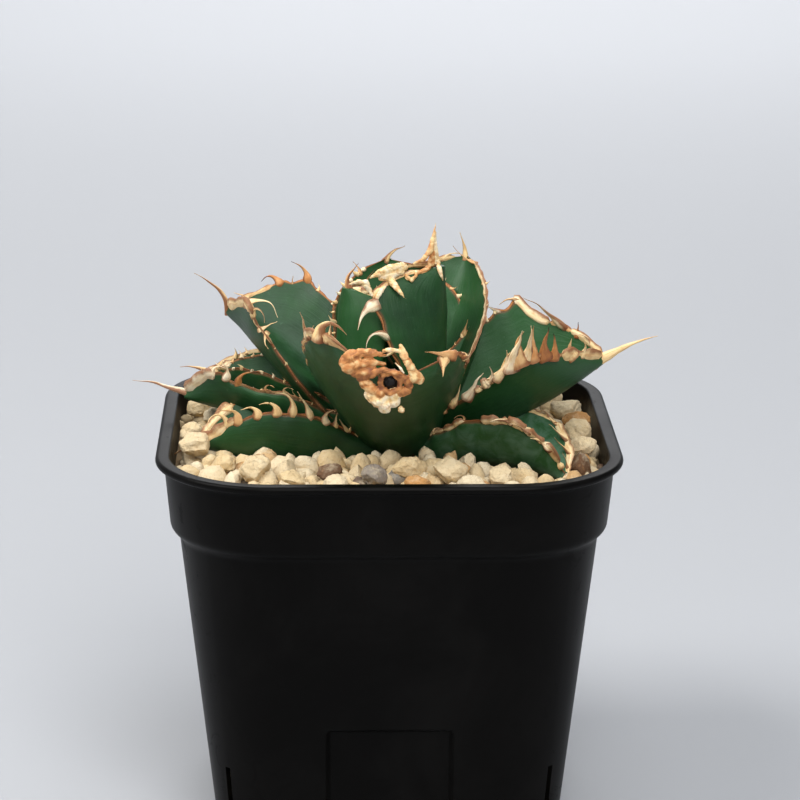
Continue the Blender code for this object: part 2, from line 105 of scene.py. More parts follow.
class NodeSheet:
    """A node tree and a short way to add nodes to it."""

    tree: bpy.types.NodeTree

    def add(self, kind: str, values: dict | None = None, **settings: object) -> Node:
        """Add a node.

        Args:
            kind: The node's type.
            values: Its inputs, by name or number, each a value, a socket or a node to link.
            settings: Its properties.

        Returns:
            The node.
        """
        node = self.tree.nodes.new(kind)
        for key, value in settings.items():
            setattr(node, key, value)
        for key, value in (values or {}).items():
            self.feed(node.inputs[key], value)
        return node

    def feed(self, socket: Socket, value: object) -> None:
        """Link a socket to another, or set its own value.

        Args:
            socket: The input.
            value: A value, a socket to link, or a node whose first output is linked.
        """
        if isinstance(value, Node):
            value = value.outputs[0]
        if isinstance(value, Socket):
            self.tree.links.new(value, socket)
        else:
            socket.default_value = value


class ShaderSheet(NodeSheet):
    """One material and short ways to add nodes to it."""

    def __init__(self, name: str) -> None:
        """Start a Principled material.

        Args:
            name: The material's name.
        """
        self.material = bpy.data.materials.new(name)
        self.material.use_nodes = True
        self.tree = self.material.node_tree
        self.shader = self.tree.nodes["Principled BSDF"]
        self.place = self.add("ShaderNodeTexCoord").outputs["Object"]

    def noise(self, scale: float, detail: float = 4, rough: float = 0.55, vector: object = None,
              distortion: float = 0) -> Socket:
        """Fractal noise over the object.

        Args:
            scale: Waves in a metre.
            detail: Octaves.
            rough: Strength of each finer octave.
            vector: Coordinates, or None for the object's own.
            distortion: How far the noise is stirred.

        Returns:
            The factor socket.
        """
        values = {"Vector": vector or self.place, "Scale": scale, "Detail": detail,
                  "Roughness": rough, "Distortion": distortion}
        return self.add("ShaderNodeTexNoise", values).outputs[0]

    def ramp(self, factor: object, stops: Sequence[tuple[float, Sequence[float]]]) -> Socket:
        """A colour ramp.

        Args:
            factor: The socket that drives it.
            stops: Pairs of place and colour.

        Returns:
            The colour socket.
        """
        node = self.add("ShaderNodeValToRGB", {"Fac": factor})
        elements = node.color_ramp.elements
        while len(elements) < len(stops):
            elements.new(0.5)
        for element, (place, colour) in zip(elements, stops):
            element.position = place
            element.color = (*colour, 1)
        return node.outputs["Color"]

    def step(self, factor: object, low: float, high: float) -> Socket:
        """A smooth mask that rises from 0 at low to 1 at high."""
        values = {"Value": factor, "From Min": low, "From Max": high}
        return self.add("ShaderNodeMapRange", values, interpolation_type="SMOOTHSTEP").outputs[0]

    def sum(self, kind: str, a: object, b: object = 0.0) -> Socket:
        """A Math node of that kind on two values."""
        return self.add("ShaderNodeMath", {0: a, 1: b}, operation=kind).outputs[0]

    def mask(self, factor: object, low: float, high: float, strength: float) -> Socket:
        """A step from low to high, times a strength."""
        return self.sum("MULTIPLY", self.step(factor, low, high), strength)

    def centred(self, factor: object, size: float) -> Socket:
        """A noise moved from around a half to around 0, times a size."""
        return self.sum("MULTIPLY", self.sum("SUBTRACT", factor, 0.5), size)

    def blend(self, factor: object, a: object, b: object) -> Socket:
        """Mix two colours by a factor."""
        a, b = ((*c, 1) if isinstance(c, tuple) else c for c in (a, b))
        return self.add("ShaderNodeMix", {0: factor, 6: a, 7: b}, data_type="RGBA").outputs[2]

    def attribute(self, name: str, output: str = "Fac") -> Socket:
        """A named attribute of the piece: its Fac, or its Vector."""
        return self.add("ShaderNodeAttribute", attribute_name=name).outputs[output]

    def bump(self, height: object, strength: float, depth: float,
             under: object = None) -> Socket:
        """A bump from a height.

        Args:
            height: The height socket, 0 to 1.
            strength: How strongly it shows.
            depth: The height of 1, in metres.
            under: A normal that it lies on, or None.

        Returns:
            The normal socket.
        """
        node = self.add("ShaderNodeBump", {"Height": height, "Strength": strength, "Distance": depth})
        if under is not None:
            self.feed(node.inputs["Normal"], under)
        return node.outputs["Normal"]

    def finish(self, **values: object) -> Material:
        """Set the shader's inputs.

        Args:
            values: Each a value or a socket, named with underscores for spaces.

        Returns:
            The material.
        """
        for key, value in values.items():
            self.feed(self.shader.inputs[key.replace("_", " ")], value)
        return self.material


class GeometryTree(NodeSheet):
    """One Geometry Nodes tree with named inputs, and short ways to add nodes to it."""

    def __init__(self, name: str, sockets: dict[str, str]) -> None:
        """Start a tree.

        Args:
            name: The tree's name.
            sockets: The input sockets, name to type, besides the geometry.
        """
        self.tree = bpy.data.node_groups.new(name, "GeometryNodeTree")
        self.ids: dict[str, str] = {}
        for label, kind in {"Geometry": "NodeSocketGeometry", **sockets}.items():
            socket = self.tree.interface.new_socket(label, in_out="INPUT", socket_type=kind)
            self.ids[label] = socket.identifier
        self.tree.interface.new_socket("Geometry", in_out="OUTPUT", socket_type="NodeSocketGeometry")
        self.given = self.tree.nodes.new("NodeGroupInput").outputs

    def random_float(self, low: float, high: float, seed: int) -> Socket:
        """A random number for each element."""
        values = {2: low, 3: high, "Seed": seed}
        return self.add("FunctionNodeRandomValue", values, data_type="FLOAT").outputs[1]

    def random_vector(self, low: Colour, high: Colour, seed: int) -> Socket:
        """A random vector for each element."""
        values = {0: low, 1: high, "Seed": seed}
        return self.add("FunctionNodeRandomValue", values, data_type="FLOAT_VECTOR").outputs[0]

    def close(self, geometry: Node, material: Socket) -> None:
        """End the tree in Realize Instances and Set Material.

        Args:
            geometry: The geometry to end with.
            material: The material input.
        """
        real = self.add("GeometryNodeRealizeInstances", {"Geometry": geometry})
        smooth = self.add("GeometryNodeSetShadeSmooth", {"Geometry": real})
        values = {"Geometry": smooth, "Material": material}
        dressed = self.add("GeometryNodeSetMaterial", values)
        self.feed(self.tree.nodes.new("NodeGroupOutput").inputs[0], dressed)

    def run(self, base: Object, name: str, values: dict[str, object]) -> Object:
        """Turn a base object into a plain mesh made by this tree.

        Args:
            base: The object that the tree reads. It is removed afterwards.
            name: The new object's name.
            values: The tree's inputs, by socket name.

        Returns:
            The new object.
        """
        modifier = base.modifiers.new("Tree", "NODES")
        modifier.node_group = self.tree
        for label, value in values.items():
            modifier[self.ids[label]] = value
        graph = bpy.context.evaluated_depsgraph_get()
        mesh = bpy.data.meshes.new_from_object(base.evaluated_get(graph))
        base.modifiers.remove(modifier)
        bpy.data.objects.remove(base)
        mesh.name = name
        return into_scene(bpy.data.objects.new(name, mesh))


def link_mesh(name: str, bm: BMesh, material: Material | None = None,
              smooth: float | None = 60) -> Object:
    """Turn a bmesh into an object of the scene.

    Args:
        name: The object's name.
        bm: The shape. It is freed.
        material: Its finish.
        smooth: Edges sharper than this many degrees stay sharp, or None for a flat look.

    Returns:
        The object.
    """
    mesh = bpy.data.meshes.new(name)
    bm.to_mesh(mesh)
    bm.free()
    if material:
        mesh.materials.append(material)
    if smooth is not None:
        mesh.shade_smooth()
        mesh.set_sharp_from_angle(angle=radians(smooth))
    return into_scene(bpy.data.objects.new(name, mesh))


def into_scene(obj: Object) -> Object:
    """Link a new object to the scene's own collection."""
    bpy.context.scene.collection.objects.link(obj)
    return obj


def baked(piece: Object) -> Object:
    """Apply an object's modifiers to its mesh.

    Args:
        piece: The object.

    Returns:
        The same object.
    """
    graph = bpy.context.evaluated_depsgraph_get()
    mesh = bpy.data.meshes.new_from_object(piece.evaluated_get(graph))
    piece.modifiers.clear()
    piece.data = mesh
    return piece


def attach(piece: Object, replaced: Iterable[str] = ()) -> Object:
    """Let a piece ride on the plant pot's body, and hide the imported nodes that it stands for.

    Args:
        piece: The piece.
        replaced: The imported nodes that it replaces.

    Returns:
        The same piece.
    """
    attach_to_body(piece, BODY)
    nodes = list(replaced)
    if nodes:
        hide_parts(*nodes)
    log.info("%s: %d faces", piece.name, len(piece.data.polygons))
    return piece


def ease(share: float) -> float:
    """A smooth step from 0 to 1."""
    share = min(max(share, 0.0), 1.0)
    return share * share * (3 - 2 * share)


def ripple(x: float, y: float, z: float) -> float:
    """Smooth noise from -1 to 1 at a point."""
    return noise.noise(Vector((x, y, z)))


FLAT_REACH = (0.60, 0.86)
FLAT_DEPTH = 0.80


def skin_rings(bm: BMesh, rings: list) -> None:
    """Join rings of points into a closed skin.

    Args:
        bm: Where it goes.
        rings: The rings, from the first end to the last, each with as many points.
    """
    for a, b in zip(rings, rings[1:]):
        for c in range(len(a)):
            d = (c + 1) % len(a)
            bm.faces.new((a[c], a[d], b[d], b[c]))
    bm.faces.new(list(reversed(rings[0])))
    bm.faces.new(rings[-1])


def rough_stone(bm: BMesh, dice: random.Random, detail: int, cuts: int, lumps: float) -> None:
    """Add one broken pumice grain of about unit radius to a bmesh.

    Args:
        bm: Where it goes.
        dice: The random numbers.
        detail: Subdivisions of the ball it is cut from.
        cuts: Flat faces broken off it.
        lumps: Height of its lumps.
    """
    ball = bmesh.ops.create_icosphere(bm, subdivisions=detail, radius=1.0)["verts"]
    planes = []
    for _ in range(cuts):
        way = Vector((dice.gauss(0, 1), dice.gauss(0, 1), dice.gauss(0, 1))).normalized()
        planes.append((way, dice.uniform(*FLAT_REACH)))
    shift = Vector((dice.uniform(0, 90), dice.uniform(0, 90), dice.uniform(0, 90)))
    for vert in ball:
        for way, reach in planes:
            beyond = vert.co.dot(way) - reach
            if beyond > 0:
                vert.co -= way * beyond * FLAT_DEPTH
        rough = noise.noise(vert.co * 1.5 + shift) + 0.45 * noise.noise(vert.co * 4 + shift)
        vert.co *= 1 + lumps * rough


# --- Finishes ---


@dataclass(frozen=True)
class LeafFinish:
    """Waxy leaf skin: deep green, with a thin blue-grey bloom that is partly painted sheen, scuffs, a
    brown rim and painted shade towards the base.
    """

    deep: Colour = (0.0060, 0.028, 0.0095)
    fresh: Colour = (0.014, 0.076, 0.016)
    bloom_and_sheen: Colour = (0.066, 0.145, 0.084)
    rim: Colour = (0.16, 0.070, 0.028)
    roughness: float = 0.46

    def build(self, name: str, fresh_and_lit: float, bloom_and_sheen: float) -> Material:
        """Make the material.

        Args:
            name: Its name.
            fresh_and_lit: Share of the brighter green, set partly as painted light.
            bloom_and_sheen: Strength of the blue-grey bloom, which is partly painted sheen and highlight.

        Returns:
            The material.
        """
        sheet = ShaderSheet(name)
        place = sheet.attribute("blade_place", "Vector")
        across, along, under = sheet.add("ShaderNodeSeparateXYZ", {0: place}).outputs
        cloud = sheet.noise(95, 3, 0.5)
        patch = sheet.noise(260, 5, 0.6, distortion=0.6)
        lit = sheet.sum("ADD", sheet.sum("MULTIPLY", cloud, 0.9), fresh_and_lit - 0.45)
        colour = sheet.blend(sheet.step(lit, 0.0, 0.6), self.deep, self.fresh)
        # The bloom film is stronger on the upper face and is partly painted sheen and highlight.
        upper = sheet.sum("SUBTRACT", 1.25, sheet.sum("MULTIPLY", under, 0.5))
        film = sheet.sum("MULTIPLY", sheet.mask(patch, 0.30, 0.80, bloom_and_sheen), upper)
        colour = sheet.blend(film, colour, self.bloom_and_sheen)
        stretched = sheet.add("ShaderNodeMapping", {"Vector": place, "Scale": (26, 3, 1)})
        streak = sheet.noise(1.0, 4, 0.6, vector=stretched)
        colour = sheet.blend(sheet.mask(streak, 0.5, 0.8, 0.35), colour, self.deep)
        scuff = sheet.noise(1400, 4, 0.75)
        colour = sheet.blend(sheet.mask(scuff, 0.60, 0.72, 0.42), colour, self.bloom_and_sheen)
        # Painted shade: the skin darkens towards the base, where the leaves shade one another.
        colour = sheet.blend(sheet.mask(along, 0.30, 0.0, 0.5), colour, self.deep)
        edge = sheet.sum("ADD", sheet.sum("ABSOLUTE", across), sheet.centred(patch, 0.06))
        colour = sheet.blend(sheet.mask(edge, 0.955, 0.995, 0.85), colour, self.rim)
        rough = sheet.sum("ADD", sheet.sum("MULTIPLY", patch, 0.22), self.roughness - 0.08)
        ridges = sheet.bump(streak, 0.25, 0.5 * mm)
        pores = sheet.bump(sheet.noise(2600, 3, 0.6), 0.16, 0.15 * mm, ridges)
        return sheet.finish(Base_Color=colour, Roughness=rough, Normal=pores, Coat_Weight=0.06,
                            Coat_Roughness=0.30, Specular_IOR_Level=0.32)


@dataclass(frozen=True)
class HornFinish:
    """Dry horn of the teeth and spines: cream to red-brown, grooved along its length, with painted shade
    on one side and in creases.
    """

    cream: Colour = (0.95, 0.69, 0.34)
    pale: Colour = (0.97, 0.85, 0.62)
    tan: Colour = (0.58, 0.24, 0.075)
    brown: Colour = (0.22, 0.075, 0.028)
    ash_and_hole_shade: Colour = (0.008, 0.006, 0.005)

    def build(self, name: str) -> Material:
        """Make the material, which reads each tooth's tone and the way along it.

        Args:
            name: Its name.

        Returns:
            The material.
        """
        sheet = ShaderSheet(name)
        tone, share, flank = (sheet.attribute(name) for name in ("tone", "share", "flank"))
        fibre = sheet.noise(1.0, 4, 0.6, vector=sheet.attribute("grain", "Vector"))
        patch = sheet.noise(420, 3, 0.55)
        mixed = sheet.sum("ADD", tone, sheet.centred(patch, 0.55))
        colour = sheet.ramp(mixed, ((0.0, self.pale), (0.30, self.cream), (0.68, self.tan),
                                    (1.0, self.brown)))
        colour = sheet.blend(sheet.mask(fibre, 0.48, 0.64, 0.50), colour, self.tan)
        # One side of each horn, and the creases and hollows of the cork, turn brown: partly a real brown
        # edge, partly painted shade.
        stain_and_shade_mask = sheet.sum("ADD", flank, sheet.centred(patch, 1.2))
        colour = sheet.blend(sheet.mask(stain_and_shade_mask, 0.20, 0.90, 0.90), colour, self.brown)
        colour = sheet.blend(sheet.mask(share, 0.14, 0.02, 0.75), colour, self.brown)
        # Spine tips char to near-black; the gall's hole gets the same near-black as painted shade.
        char_and_hole_shade = sheet.sum("MULTIPLY", sheet.step(share, 0.72, 1.0), sheet.step(tone, 0.42, 0.72))
        colour = sheet.blend(char_and_hole_shade, colour, self.ash_and_hole_shade)
        bump = sheet.bump(fibre, 0.55, 0.35 * mm)
        fine = sheet.bump(sheet.noise(2300, 4, 0.6), 0.18, 0.2 * mm, bump)
        return sheet.finish(Base_Color=colour, Roughness=0.55, Normal=fine, Specular_IOR_Level=0.35)


@dataclass(frozen=True)
class PumiceFinish:
    """Dusty, porous pumice whose grains run from ivory to ochre, with a few grey and rusty ones."""

    ivory: Colour = (0.74, 0.63, 0.44)
    sand: Colour = (0.66, 0.50, 0.28)
    ochre: Colour = (0.46, 0.23, 0.075)
    grey: Colour = (0.22, 0.21, 0.19)
    umber: Colour = (0.14, 0.075, 0.040)

    def build(self, name: str) -> Material:
        """Make the material, which reads each grain's tone.

        Args:
            name: Its name.

        Returns:
            The material.
        """
        sheet = ShaderSheet(name)
        stops = ((0.0, self.ivory), (0.62, self.sand), (0.86, self.sand), (0.90, self.ochre),
                 (0.94, self.grey), (0.97, self.umber))
        colour = sheet.ramp(sheet.attribute("tone"), stops)
        dust = sheet.noise(330, 5, 0.65)
        colour = sheet.blend(sheet.mask(dust, 0.45, 0.70, 0.45), colour, self.ivory)
        stain = sheet.noise(700, 4, 0.7)
        colour = sheet.blend(sheet.mask(stain, 0.56, 0.74, 0.40), colour, self.ochre)
        cells = sheet.add("ShaderNodeTexVoronoi", {"Vector": sheet.place, "Scale": 1700.0})
        pit = sheet.step(cells.outputs["Distance"], 0.05, 0.34)
        shadow = sheet.sum("MULTIPLY", sheet.sum("SUBTRACT", 1.0, pit), 0.22)
        colour = sheet.blend(shadow, colour, self.umber)
        pores = sheet.bump(pit, 0.35, 0.25 * mm)
        coarse = sheet.bump(sheet.noise(620, 6, 0.62), 0.85, 0.85 * mm, pores)
        return sheet.finish(Base_Color=colour, Roughness=0.92, Normal=coarse, Specular_IOR_Level=0.2)


@dataclass(frozen=True)
class MixFinish:
    """Damp potting mix: dark crumbs with lighter grit."""

    crumb: Colour = (0.045, 0.028, 0.018)
    grit: Colour = (0.30, 0.20, 0.11)

    def build(self, name: str) -> Material:
        """Make the material.

        Args:
            name: Its name.

        Returns:
            The material.
        """
        sheet = ShaderSheet(name)
        cells = sheet.add("ShaderNodeTexVoronoi", {"Vector": sheet.place, "Scale": 480.0})
        speck = sheet.step(sheet.noise(520, 4, 0.6), 0.56, 0.66)
        colour = sheet.blend(speck, self.crumb, self.grit)
        bump = sheet.bump(cells.outputs["Distance"], 0.8, 0.8 * mm)
        return sheet.finish(Base_Color=colour, Roughness=0.95, Normal=bump, Specular_IOR_Level=0.2)


@dataclass(frozen=True)
class StemFinish:
    """Pale, fibrous skin of the short stem."""

    light: Colour = (0.38, 0.34, 0.18)
    dark: Colour = (0.15, 0.12, 0.05)

    def build(self, name: str) -> Material:
        """Make the material.

        Args:
            name: Its name.

        Returns:
            The material.
        """
        sheet = ShaderSheet(name)
        rings = sheet.add("ShaderNodeMapping", {"Vector": sheet.place, "Scale": (1, 1, 5)})
        scar = sheet.noise(220, 4, 0.6, vector=rings)
        colour = sheet.blend(sheet.step(scar, 0.4, 0.65), self.light, self.dark)
        bump = sheet.bump(scar, 0.5, 0.6 * mm)
        return sheet.finish(Base_Color=colour, Roughness=0.75, Normal=bump)


@dataclass(frozen=True)
class PlasticFinish:
    """Moulded black polypropylene with a satin skin, dried water marks and a little dust."""

    black: Colour = (0.0016, 0.0014, 0.0012)
    film: Colour = (0.0050, 0.0046, 0.0042)
    dust: Colour = (0.30, 0.29, 0.27)
    roughness: float = 0.42

    def build(self, name: str, dusty_half_width: float, dusty_top: float) -> Material:
        """Make the material.

        Args:
            name: Its name.
            dusty_half_width: Half the width of the panel that holds dust.
            dusty_top: The height that the dust reaches.

        Returns:
            The material.
        """
        sheet = ShaderSheet(name)
        cloud = sheet.noise(28, 5, 0.62, distortion=0.8)
        drops = sheet.noise(120, 4, 0.7, distortion=1.2)
        colour = sheet.blend(sheet.mask(cloud, 0.42, 0.72, 0.7), self.black, self.film)
        mark = sheet.step(drops, 0.60, 0.66)
        colour = sheet.blend(sheet.sum("MULTIPLY", mark, 0.6), colour, self.black)
        cells = sheet.add("ShaderNodeTexVoronoi", {"Vector": sheet.place, "Scale": 420.0})
        lone = sheet.step(cells.outputs["Color"], 0.80, 0.82)
        dot = sheet.step(cells.outputs["Distance"], 0.13, 0.07)
        axes = sheet.add("ShaderNodeSeparateXYZ", {0: sheet.place}).outputs
        in_width = sheet.step(sheet.sum("ABSOLUTE", axes[0]), dusty_half_width, dusty_half_width * 0.8)
        in_height = sheet.step(axes[2], dusty_top, dusty_top * 0.9)
        in_front = sheet.step(axes[1], -30 * mm, -34 * mm)
        speck = lone
        for limit in (dot, in_width, in_height, in_front):
            speck = sheet.sum("MULTIPLY", speck, limit)
        colour = sheet.blend(speck, colour, self.dust)
        rough = sheet.sum("ADD", sheet.sum("MULTIPLY", cloud, 0.20), self.roughness - 0.10)
        rough = sheet.sum("ADD", rough, sheet.sum("MULTIPLY", mark, 0.10))
        soft = sheet.bump(cloud, 0.08, 0.6 * mm)
        skin = sheet.bump(sheet.noise(1900, 2, 0.5), 0.05, 0.1 * mm, soft)
        return sheet.finish(Base_Color=colour, Roughness=rough, Normal=skin, Specular_IOR_Level=0.07)


@dataclass(frozen=True)
class BackdropFinish:
    """Plain pale paper of the floor and backdrop."""

    colour: Colour = (0.42, 0.432, 0.455)

    def build(self, name: str) -> Material:
        """Make the material.

        Args:
            name: Its name.

        Returns:
            The material.
        """
        sheet = ShaderSheet(name)
        return sheet.finish(Base_Color=(*self.colour, 1), Roughness=0.85, Specular_IOR_Level=0.15)


# --- Pot ---


@dataclass
class Pot:
    """The square pot: lip, collar band, tapered body, pressed panels, corner slits and drains."""

    wall: float = 1.3 * mm
    floor: float = 1.6 * mm
    lip_overhang: float = 2.0 * mm
    lip_height: float = 1.8 * mm
    band_height: float = 17.4 * mm
    band_draft: float = 1.2 * mm
    step_in: float = 1.9 * mm
    step_height: float = 1.6 * mm
    foot_half: float = 39.0 * mm
    lip_corner: float = 26.5 * mm
    step_corner: float = 23.0 * mm
    foot_corner: float = 13.0 * mm
    panel_half: float = 14.5 * mm
    panel_top: float = 30.4 * mm
    panel_depth: float = 1.6 * mm
    panel_draft: float = 1.3 * mm
    slit_width: float = 1.5 * mm
    slit_top: float = 19.2 * mm
    slot_length: float = 16.0 * mm
    slot_width: float = 3.4 * mm
    slot_radius: float = 23.0 * mm
    foot_round: float = 0.5 * mm
    arc_steps: int = 8
    sharp_angle: float = 38

    def __post_init__(self) -> None:
        """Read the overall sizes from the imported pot.

        The slits start above the floor.
        """
        low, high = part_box("pot")
        self.height = high.z
        self.half = high.x
        self.step_z = self.height - self.band_height
        self.slit_foot = self.floor + self.wall

    def body(self, z: float) -> tuple[float, float]:
        """Size the tapered body at a height.

        Args:
            z: The height.

        Returns:
            The half-width and the corner radius.
        """
        share = z / self.step_z
        top = self.half - self.lip_overhang - self.band_draft - self.step_in
        half = self.foot_half + (top - self.foot_half) * share
        return half, self.foot_corner + (self.step_corner - self.foot_corner) * share

    def shared_heights(self) -> list[float]:
        """Heights where both walls have a row.

        Returns:
            The heights, up the slits and over the panels' upper edges.
        """
        slit = [self.slit_foot + (self.slit_top - self.slit_foot) * i / 6 for i in range(7)]
        edge = [self.panel_top - self.panel_draft * i / 3 for i in range(3, -1, -1)]
        return slit + [self.slit_top + 4 * mm] + edge + [self.panel_top + 0.4 * mm]

    def outer_levels(self) -> list[tuple[float, float, float]]:
        """Profile of the outside.

        Returns:
            Height, half-width and corner radius, from the foot to the top of the lip.
        """
        band_foot = self.half - self.lip_overhang - self.band_draft
        band_head = self.half - self.lip_overhang
        lip_foot = self.height - self.lip_height
        foot = self.foot_round
        levels = [(0.0, self.body(0)[0] - foot, self.foot_corner - foot), (foot, *self.body(foot))]
        levels += [(z, *self.body(z)) for z in self.shared_heights()]
        middle = (self.panel_top + self.step_z) / 2
        levels.append((middle, *self.body(middle)))
        low, high = self.step_z - self.step_height / 2, self.step_z + self.step_height / 2
        start = low - 1.0 * mm
        narrow, corner = self.body(low)[0], self.step_corner + 1 * mm
        levels += self.curve((start, *self.body(start)), (low, *self.body(low)),
                             (self.step_z, narrow + self.step_in * 0.5, corner))
        levels += self.curve((self.step_z, narrow + self.step_in * 0.55, corner),
                             (high, band_foot, self.step_corner + self.step_in),
                             (high + 1.2 * mm, band_foot + 0.08 * mm, self.step_corner + self.step_in))
        corner = self.lip_corner - self.lip_overhang
        levels.append(((high + lip_foot) / 2, (band_foot + band_head) / 2, corner))
        levels += self.curve((lip_foot - 1.4 * mm, band_head - 0.1 * mm, corner),
                             (lip_foot, band_head, corner),
                             (lip_foot, band_head + 1.0 * mm, corner + 1 * mm))
        edge = self.lip_height / 2
        for i in range(self.arc_steps + 1):
            angle = radians(-90 + 180 * i / self.arc_steps)
            out = self.half - edge + edge * cos(angle)
            level = self.height - edge + edge * sin(angle)
            levels.append((level, out, self.lip_corner - self.half + out))
        return levels

    def inner_levels(self) -> list[tuple[float, float, float]]:
        """Profile of the inside.

        Returns:
            Height, half-width and corner radius, from the floor to the top of the lip.
        """
        band = self.half - self.lip_overhang - self.wall
        low = self.step_z - self.step_height / 2 + self.wall
        high = self.step_z + self.step_height / 2 + self.wall
        corner = self.lip_corner - self.lip_overhang - self.wall
        levels = []
        for z in [self.floor] + self.shared_heights() + [low]:
            half, radius = self.body(z)
            levels.append((z, half - self.wall, radius - self.wall))
        levels.append((high, band - self.band_draft, self.step_corner))
        levels.append((self.height - 0.9 * mm, band, corner))
        levels += self.curve((self.height - 0.6 * mm, band, corner), (self.height, band, corner),
                             (self.height, band + 0.6 * mm, corner + 0.5 * mm))
        return levels

    @staticmethod
    def curve(start: tuple, bend: tuple, end: tuple, steps: int = 5) -> list[tuple]:
        """Round off a bend between two straight stretches.

        Args:
            start: Where the arc begins.
            bend: Where the stretches would meet.
            end: Where the arc ends.
            steps: Pieces in the arc.

        Returns:
            The points on the arc.
        """
        points = []
        for i in range(steps + 1):
            t = i / steps
            pairs = list(zip(((1 - t) ** 2, 2 * t * (1 - t), t * t), (start, bend, end)))
            points.append(tuple(sum(share * point[k] for share, point in pairs) for k in range(3)))
        return points

    def ring(self, level: tuple[float, float, float], inner: bool) -> list[Vector]:
        """One ring of points round the pot, with the panels pressed in.

        Args:
            level: Height, half-width and corner radius.
            inner: Whether the ring is on the inner wall.

        Returns:
            The points, anticlockwise from the right.
        """
        z, half, corner = level
        straight = half - corner
        slit = degrees(asin(self.slit_width / 2 / max(corner, 5 * mm)))
        arc = [(45 - slit) * i / self.arc_steps for i in range(self.arc_steps + 1)] + [45.0]
        arc += [90 - a for a in reversed(arc[:-1])]
        edge = self.panel_half + (self.wall if inner else 0)
        near = [edge + 0.3 * mm, edge, edge - 0.4 * self.panel_draft, edge - 0.7 * self.panel_draft,
                edge - self.panel_draft, edge * 0.5]
        positive = [(straight + near[0]) / 2] + near
        across = [-x for x in positive] + [0.0] + list(reversed(positive))
        top = self.panel_top + (self.wall if inner else 0)
        points = []
        for quarter in range(4):
            base = radians(90 * quarter)
            centre = Vector((straight, straight, 0))
            for turn in arc:
                angle = radians(turn)
                local = centre + Vector((corner * cos(angle), corner * sin(angle), 0))
                points.append(Matrix.Rotation(base, 3, "Z") @ local + Vector((0, 0, z)))
            out = Vector((cos(base + pi / 2), sin(base + pi / 2), 0))
            way = Vector((-out.y, out.x, 0))
            for x in across:
                dent = ease((edge - abs(x)) / self.panel_draft) * ease((top - z) / self.panel_draft)
                points.append(out * (half - self.panel_depth * dent) + way * x + Vector((0, 0, z)))
        return points

    def build(self) -> Object:
        """Make the shell and its openings.

        Returns:
            The piece.
        """
        bm = bmesh.new()
        profiles = (self.outer_levels(), self.inner_levels())
        walls = []
        rows = []
        for levels, inner in zip(profiles, (False, True)):
            walls.append([[bm.verts.new(p) for p in self.ring(level, inner)] for level in levels])
            rows.append([i for i, level in enumerate(levels)
                         if self.slit_foot - 1e-6 < level[0] < self.slit_top + 1e-6])
        outer, inner_wall = walls
        count = len(outer[0])
        per_side = count // 4
        slit_columns = {q * per_side + self.arc_steps + k for q in range(4) for k in (0, 1)}
        for wall, rings in enumerate(walls):
            open_rows = set(rows[wall][:-1])
            for r in range(len(rings) - 1):
                for c in range(count):
                    if r in open_rows and c in slit_columns:
                        continue
                    d = (c + 1) % count
                    face = (rings[r][c], rings[r][d], rings[r + 1][d], rings[r + 1][c])
                    bm.faces.new(face if wall == 0 else face[::-1])
        for c in range(count):
            d = (c + 1) % count
            bm.faces.new((outer[-1][c], outer[-1][d], inner_wall[-1][d], inner_wall[-1][c]))
        self.close_slits(bm, outer, inner_wall, rows, per_side)
        bm.faces.new(list(reversed(outer[0])))
        bm.faces.new(inner_wall[0])
        bmesh.ops.recalc_face_normals(bm, faces=bm.faces)
        finish = PlasticFinish().build("pot_plastic", self.panel_half, self.panel_top)
        piece = link_mesh("pot_shell", bm, finish, self.sharp_angle)
        self.cut_drains(piece)
        return attach(piece, ["pot"])

    def close_slits(self, bm: BMesh, outer: list, inner: list, rows: list,
                    per_side: int) -> None:
        """Join the two walls round the edge of each slit.

        Args:
            bm: The shell.
            outer: The rings of points of the outer wall.
            inner: Those of the inner wall.
            rows: The rings that each wall's slits run over.
            per_side: Points on a quarter of a ring.
        """
        shift = rows[1][0] - rows[0][0]
        foot_out, head_out = outer[rows[0][0]], outer[rows[0][-1]]
        foot_in, head_in = inner[rows[1][0]], inner[rows[1][-1]]
        for quarter in range(4):
            first = quarter * per_side + self.arc_steps
            last = first + 2
            for a, b in zip(rows[0], rows[0][1:]):
                i, j = a + shift, b + shift
                bm.faces.new((outer[a][first], outer[b][first], inner[j][first], inner[i][first]))
                bm.faces.new((outer[a][last], inner[i][last], inner[j][last], outer[b][last]))
            for c in (first, first + 1):
                bm.faces.new((foot_out[c], foot_in[c], foot_in[c + 1], foot_out[c + 1]))
                bm.faces.new((head_out[c], head_out[c + 1], head_in[c + 1], head_in[c]))

    def cut_drains(self, piece: Object) -> None:
        """Cut the four drain slots through the floor.

        Args:
            piece: The shell.
        """
        bm = bmesh.new()
        for quarter in range(4):
            size = Matrix.Diagonal((self.slot_length, self.slot_width, 4 * self.floor, 1))
            place = Matrix.Translation((0, -self.slot_radius, self.floor / 2))
            turn = Matrix.Rotation(radians(90 * quarter), 4, "Z")
            bmesh.ops.create_cube(bm, size=1.0, matrix=turn @ place @ size)
        cutter = link_mesh("drain_cutter", bm)
        modifier = piece.modifiers.new("Drains", "BOOLEAN")
        modifier.operation = "DIFFERENCE"
        modifier.solver = "EXACT"
        modifier.object = cutter
        baked(piece)
        bpy.data.objects.remove(cutter)
        piece.data.set_sharp_from_angle(angle=radians(self.sharp_angle))


# --- Fill and gravel ---


